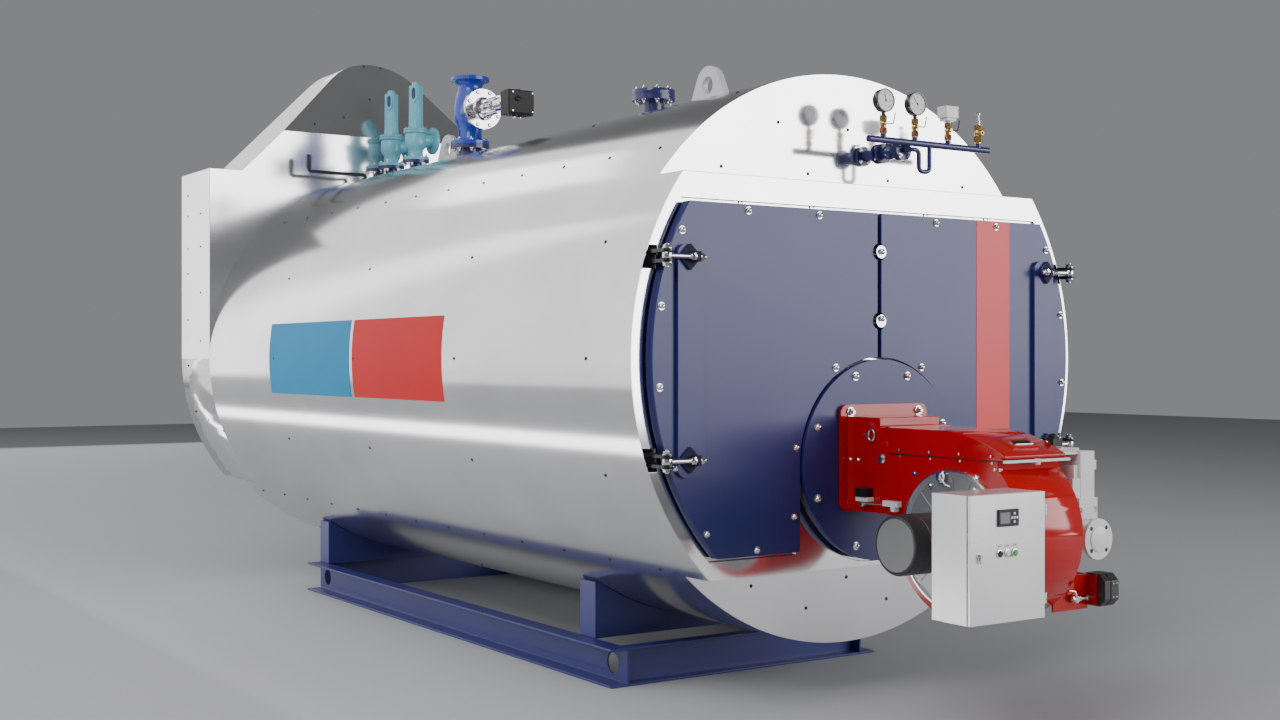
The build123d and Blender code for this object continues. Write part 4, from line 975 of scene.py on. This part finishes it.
def head_details():
    """Ring handle, latch, damper servo with its linkage and the head's crown."""
    left = BURNER_LEFT
    bright, base, servo, crown = shapes(4)
    ring_centre = at(left - 9, -247, -323)
    ring = [ring_centre + spoke for spoke in spokes(REAR * 19, UP * 24, 20)]
    bright.tube(ring + ring[:1], 4)
    bright.lathe(at(left, -222, -323), LEFT, plug(8, 12), sides=14)
    bright.tube([at(left - 8, -222, -323), at(left - 8, -196, -318)], 3, sides=8)
    bright.lathe(at(left, -300, -420), LEFT, [(21, 0), (21, 3), (14, 6), (12, 12), (0, 12)], sides=24)
    bright.boxes((left - 9, -312, -426, left - 6, -288, -414))
    rod = at(left - 26, -210, -612)
    elbow = at(left - 26, -352, -603)
    bright.tube([rod, elbow], 3.5)
    bright.lathe(rod + RIGHT * 8, LEFT, stub(12, 16, 8, 18), sides=16)
    bright.lathe(elbow + RIGHT * 8, LEFT, plug(9, 16), sides=12)
    bright.piece("head_fasteners")
    base.boxes((left - 38, -252, -602, left, -178, -583), (left - 40, -420, -630, left - 12, -396, -588))
    base.slab(rectangle(-60, -12, 30, 12), at(left - 10, -372, -600), REAR, UP, -26)
    base.piece("damper_servo_base", "gas_white", edge=2)
    servo.boxes((left - 42, -250, -583, left - 4, -180, -546))
    for foot in (-246, -223, -200):
        servo.boxes((left - 44, foot, -579, left - 42, foot + 17, -550))
    servo.piece("damper_servo", "black_plastic", edge=3)
    crown.boxes((left, -289, -292, BURNER_RIGHT, -85, -248))
    crown.piece("head_crown", "burner_red", edge=4)


FAN_Y = -720
FAN_Z = -720
LATCH_Y = -666
LATCH_Z = -470
SIDE_RIBS = 16
MOTOR_RIBS = 20
RIM_BOLTS = [radians(angle) for angle in (200, 290, 340, 60, 120)]


def fan_parts():
    """Grey side disc with its bright rim, ribs and latch, and the motor with its jacket and end."""
    hub = at(BURNER_LEFT, FAN_Y, FAN_Z)
    side, rim, bright, motor, cover = shapes(5)
    side.lathe(hub, LEFT, [
        (273, 0), (273, 12), (262, 13), (258, 9), (150, 9), (144, 16), (126, 18), (0, 18)], sides=72)
    for out in spokes(REAR, UP, SIDE_RIBS):
        side.slab(rectangle(150, -3, 252, 3), hub + LEFT * 8, out, LEFT.cross(out), 4)
    side.piece("fan_side_cover", "disc_grey", edge=1, replaces=("fan_side_disc",))
    rim.hoop(hub, LEFT, [(272, 0), (281, 0), (281, 15), (279, 18), (274, 18), (272, 15)], sides=72)
    rim.piece("fan_rim")
    latch = [(24, 18), (24, 24), (16, 26), (12, 34), (0, 36)]
    bright.lathe(at(BURNER_LEFT, LATCH_Y, LATCH_Z), LEFT, latch, sides=24)
    bright.tube([at(BURNER_LEFT - 28, LATCH_Y, LATCH_Z), at(BURNER_LEFT - 28, -700, -500),
                 at(BURNER_LEFT - 24, -722, -506)], 4)
    for angle in RIM_BOLTS:
        out = REAR * cos(angle) + UP * sin(angle)
        hex_bolt(bright, hub + out * 242 + LEFT * 11, LEFT, radius=8)
    bright.piece("fan_latch")
    motor.lathe(hub, LEFT, [
        (104, 18), (104, 40), (116, 44), (118, 48), (118, 230), (115, 233), (115, 238), (118, 241),
        (118, 306), (114, 314), (108, 316), (106, 312), (0, 312)], sides=64)
    for out in spokes(REAR, UP, MOTOR_RIBS):
        motor.slab(rectangle(108, -2, 117.5, 2), hub + LEFT * 44, out, LEFT.cross(out), 186)
    motor.piece("fan_motor_body", "motor_grey", edge=1.5, replaces=("fan_motor",))
    disc(cover, hub + LEFT * 312, LEFT, 105, 5, sides=56, edge=3)
    cover.piece("fan_motor_end", "motor_end_grey")


CABINET_FRONT = -1205


def cabinet_details():
    """Display, keypad, push buttons with their plates, and lock. All ride on the door."""
    dark, grey, light, green, bright = shapes(5)
    panel = at(-436, CABINET_FRONT, -576)
    dark.slab(rectangle(-52, -31, 52, 31), panel, RIGHT, UP, 7)
    grey.slab(rectangle(-44, -20, 6, 20), panel + FRONT * 7, RIGHT, UP, 0.8)
    for x, z in ((0, 0), (0, 15), (0, -15), (-13, 0), (13, 0)):
        key = panel + RIGHT * (29 + x) + UP * z + FRONT * 7
        light.lathe(key, FRONT, stub(6, 1.6, 5, 2), sides=4, turn=pi / 4)
    for index, x in enumerate((-478, -439, -400)):
        spot = at(x, CABINET_FRONT, -704)
        light.slab(rectangle(-13, 0, 13, 15), spot + UP * 20, RIGHT, UP, 1)
        dark.slab(rectangle(-9, 4, 9, 6), spot + UP * 22 + FRONT * 1, RIGHT, UP, 0.4)
        bright.hoop(spot, FRONT, [(15, 0), (15, 4), (13, 5), (11, 5), (11, 0)], sides=28)
        knob = (dark, light, green)[index]
        knob.lathe(spot, FRONT, stub(11, 8, 9, 10), sides=24)
    green.lathe(at(-420, CABINET_FRONT, -712), FRONT, plug(6, 6), sides=16)
    bright.lathe(at(-581, CABINET_FRONT, -712), FRONT, stub(13, 4, 10, 7), sides=24)
    bright.slab(rectangle(-4, -22, 4, 14), at(-581, CABINET_FRONT - 7, -712), RIGHT, UP, 6)
    dark.piece("cabinet_display", "black_plastic", "cabinet_door", edge=0.8)
    grey.piece("cabinet_screen", "screen_grey", "cabinet_door")
    light.piece("cabinet_keys", "gas_white", "cabinet_door")
    green.piece("cabinet_green_button", "button_green", "cabinet_door")
    bright.piece("cabinet_lock", "bright_steel", "cabinet_door", edge=0.5)


# Height of a rail, and the widths of the switchgear on it
RAILS = [(-590, (54, 36, 36, 72, 54)), (-700, (90, 45, 45, 90)), (-810, (16,) * 16)]
RAIL_FACE = -1083
GEAR_START = -592
GEAR_DEPTH = 60
TERMINAL_DEPTH = 34
TERMINAL_WIDTH = 16


def cabinet_inside():
    """Rear box of the cabinet, and the mounting plate with rails, switchgear and terminals inside it."""
    rear, plate, gear, bright = shapes(4)
    rear.boxes((-625, -1072, -955, -240, -1012, -490))
    rear.piece("cabinet_rear_box", "cabinet_grey", edge=2)
    plate.boxes((-605, -1077, -935, -260, -1074, -510))
    for z, widths in RAILS:
        bright.boxes((-595, RAIL_FACE, z - 17, -270, -1077, z + 17))
        x = GEAR_START
        for width in widths:
            depth = GEAR_DEPTH if width > TERMINAL_WIDTH else TERMINAL_DEPTH
            gear.boxes((x + 1, RAIL_FACE - depth, z - 40, x + width - 1, RAIL_FACE, z + 40))
            x += width + 2
    plate.piece("cabinet_plate", "gas_white")
    bright.piece("cabinet_rails", "stainless")
    gear.piece("cabinet_gear", "black_plastic", edge=1.5)


GAS_X = 280
GAS_Z = -718
GAS_CIRCLE = 62.5


def gas_train():
    """Gas valve block with its covers and ribs, inlet flange face with black discs as painted shade of its
    bolt holes, and fittings.
    """
    white, dark, bright = shapes(3)
    white.boxes(
        (217, -942, -560, 343, -640, -480), (262, -944, -562, 344, -700, -372),
        (236, -932, -500, 300, -800, -428), (340, -930, -450, 372, -860, -410),
        (238, -958, -645, 346, -900, -558), (217, -900, -640, 340, -640, -556),
        (146, -932, -384, 270, -758, -374), (237, -938, -775, 323, -850, -640))
    for x in range(150, 263, 14):
        white.boxes((x, -930, -376, x + 6, -760, -358))
    white.lathe(at(GAS_X, -884, GAS_Z), FRONT, [
        (58, 0), (60, 2), (60, 40), (50, 60), (45, 72), (45, 118), (78, 119), (82.5, 121), (82.5, 135),
        (81, 136.5), (52, 136.5), (51, 141), (49, 142), (0, 142)], sides=48)
    white.piece("gas_valve_housing", "gas_white", edge=2.5, replaces=("gas_valve_block",))
    # Painted shade: thin black discs on the inlet flange's face stand in for its bolt holes
    for spoke in spokes(RIGHT, UP, 4, pi / 4):
        dark.lathe(at(GAS_X, -1020.2, GAS_Z) + spoke * GAS_CIRCLE, FRONT, plug(9, 0.4))
    dark.boxes((150, -900, -352, 206, -830, -320))
    dark.lathe(at(186, -866, -320), UP, stub(16, 14, 8, 18), sides=16)
    dark.piece("gas_fittings_and_hole_shade", "black_plastic", edge=1.5)
    bright.tube([at(140, -866, -338), at(222, -866, -338)], 9, sides=14)
    for x in (150, 206):
        bright.lathe(at(x, -866, -338), RIGHT, plug(16, 6, -6), sides=6)
    bright.lathe(at(222, -866, -338), UP, stub(9, 24, 5, 28, -4), sides=12)
    for height in (-610, -598):
        for x in (250, 334):
            hex_bolt(bright, at(x, -958, height), FRONT, radius=6)
    bright.piece("gas_fittings")


SERVO_LEFT = 341
SERVO_RIGHT = 425
SERVO_FRONT = -1000
SERVO_BACK = -900
SERVO_TOP = -867
SERVO_FOOT = -998
SERVO_CUT = 28
PARTING = (34, 38)
LINK_Y = -938
LINK_Z = -962


def gas_servo():
    """Servo housing with its parting line, cover screws and the linkage in front of its plate."""
    dark, bright = shapes(2)
    depth, height = SERVO_BACK - SERVO_FRONT, SERVO_TOP - SERVO_FOOT
    outline = [(0, 0), (depth - SERVO_CUT, 0), (depth, SERVO_CUT), (depth, height - SERVO_CUT),
               (depth - SERVO_CUT, height), (0, height)]
    inset = [(a * 0.97, 2 + b * 0.97) for a, b in outline]
    edges = (0, *PARTING, SERVO_RIGHT - SERVO_LEFT)
    for shape, start, end in zip((outline, inset, outline), edges, edges[1:]):
        dark.slab(shape, at(SERVO_LEFT + start, SERVO_BACK, SERVO_FOOT), FRONT, UP, start - end)
    dark.piece("gas_servo_housing", "motor_grey", edge=2.5, replaces=("gas_servo",))
    for z in (-960, -905):
        for x in (392, 412):
            bright.lathe(at(x, SERVO_FRONT, z), FRONT, plug(3.5, 0.8, -1), sides=12)
    bright.tube([at(212, LINK_Y, LINK_Z), at(331, LINK_Y, LINK_Z)], 6, sides=12)
    for x in (222, 262, 304):
        bright.lathe(at(x, LINK_Y, LINK_Z), RIGHT, plug(12, 5, -5), sides=6)
    bright.lathe(at(240, -926, LINK_Z), FRONT, stub(17, 20, 12, 24))
    bright.tube([at(240, -945, LINK_Z), at(226, -945, -930), at(196, -940, -926)], 5)
    bright.piece("gas_servo_linkage")


# Light, floor and camera

CAMERA_PLACE = (-4.672, -6.068, 1.520)
CAMERA_YAW = -33.704
CAMERA_LENS = 43.81
CAMERA_SHIFT = -0.00114
SENSOR_WIDTH = 36
FAR_CLIP = 200
FLOOR_SIZE = 60
FLOOR_COLOUR = (0.46, 0.47, 0.48, 1)
FLOOR_ROUGHNESS = 0.7
SKY_GLOW = 0.24
# Height on the sky, from 0 at the horizon to 1 overhead, and its shade there
SKY_STOPS = ((0.22, (0.95, 0.97, 1.00, 1)), (0.42, (0.48, 0.49, 0.50, 1)))
# Name: place and target in metres, width and height, and brightness as seen in a mirror
LIGHTS = {
    "overhead": ((-2.6, -1.0, 9.0), (0, 0, 1.5), (7, 5), 1.4),
    "rear_high": ((1.2, 21.8, 14.6), (1.2, 0, 14.6), (4.6, 4.2), 2.1),
    "front_right": ((7.0, -10.0, 3.7), (0, -1, 2.2), (11, 6), 5.0),
    "front_left": ((-8.0, -4.5, 8.0), (-0.8, -1, 1), (5, 5), 6.0),
    "left_wall": ((-7.0, 12.0, 7.1), (-1, 12.0, 7.1), (24, 14), 1.22),
    "rear_wall": ((-1.2, 22.0, 10.2), (-1.2, 0, 10.2), (14.6, 20), 1.2),
    "left_strip": ((-2.5, 6.2, 0.17), (-1.2, 6.2, 1.9), (14, 0.24), 4.4),
}


def area_light(name, place, target, size, glow):
    """Soft light that faces a point."""
    data = bpy.data.lights.new(name, "AREA")
    data.shape = "RECTANGLE"
    data.size, data.size_y = size
    data.energy = glow * pi * size[0] * size[1]
    light = bpy.data.objects.new(name, data)
    light.location = place
    light.rotation_euler = (Vector(target) - Vector(place)).to_track_quat("-Z", "Y").to_euler()
    bpy.context.scene.collection.objects.link(light)


def pale_floor():
    """Plain floor under the boiler."""
    bpy.ops.mesh.primitive_plane_add(size=FLOOR_SIZE, location=(0, 0, 0))
    floor = bpy.context.object
    floor.name = "floor"
    pale = bpy.data.materials.new("pale_floor")
    pale.use_nodes = True
    put(pale.node_tree.nodes["Principled BSDF"],
        {"Base Color": FLOOR_COLOUR, "Roughness": FLOOR_ROUGHNESS})
    floor.data.materials.append(pale)


def sky():
    """Soft light from all sides, which fades with height."""
    world = bpy.data.worlds.new("studio")
    world.use_nodes = True
    nodes = world.node_tree.nodes
    link = world.node_tree.links.new
    background = nodes["Background"]
    put(background, {"Strength": SKY_GLOW})
    direction = nodes.new("ShaderNodeTexCoord")
    parts = nodes.new("ShaderNodeSeparateXYZ")
    fade = nodes.new("ShaderNodeValToRGB")
    for element, (height, shade) in zip(fade.color_ramp.elements, SKY_STOPS):
        element.position = height
        element.color = shade
    link(direction.outputs["Generated"], parts.inputs["Vector"])
    link(parts.outputs["Z"], fade.inputs["Fac"])
    link(fade.outputs["Color"], background.inputs["Color"])
    bpy.context.scene.world = world


def view():
    """Level camera in front of the burner, to the left."""
    data = bpy.data.cameras.new("camera")
    data.lens = CAMERA_LENS
    data.sensor_width = SENSOR_WIDTH
    data.shift_y = CAMERA_SHIFT
    data.clip_end = FAR_CLIP
    camera = bpy.data.objects.new("camera", data)
    camera.location = CAMERA_PLACE
    camera.rotation_euler = (radians(90), 0, radians(CAMERA_YAW))
    bpy.context.scene.collection.objects.link(camera)
    bpy.context.scene.camera = camera


dress_nodes()
shell_rivets()
smokebox_sheets()
panel_rivets()
casing_rivets()
side_stripe()
tube_ends()
door_nuts()
door_stripe()
hinge_details()
seam_nuts()
disc_bolts()
nozzle_bolts()
steam_valve_body()
steam_valve_bonnet()
steam_valve_drive()
safety_valves()
vent_details()
gauges()
cocks()
pressure_switch()
drain_valve()
isolating_valve_bolts()
hood_details()
head_details()
fan_parts()
cabinet_details()
cabinet_inside()
gas_train()
gas_servo()
pale_floor()
sky()
for name, settings in LIGHTS.items():
    area_light(name, *settings)
view()
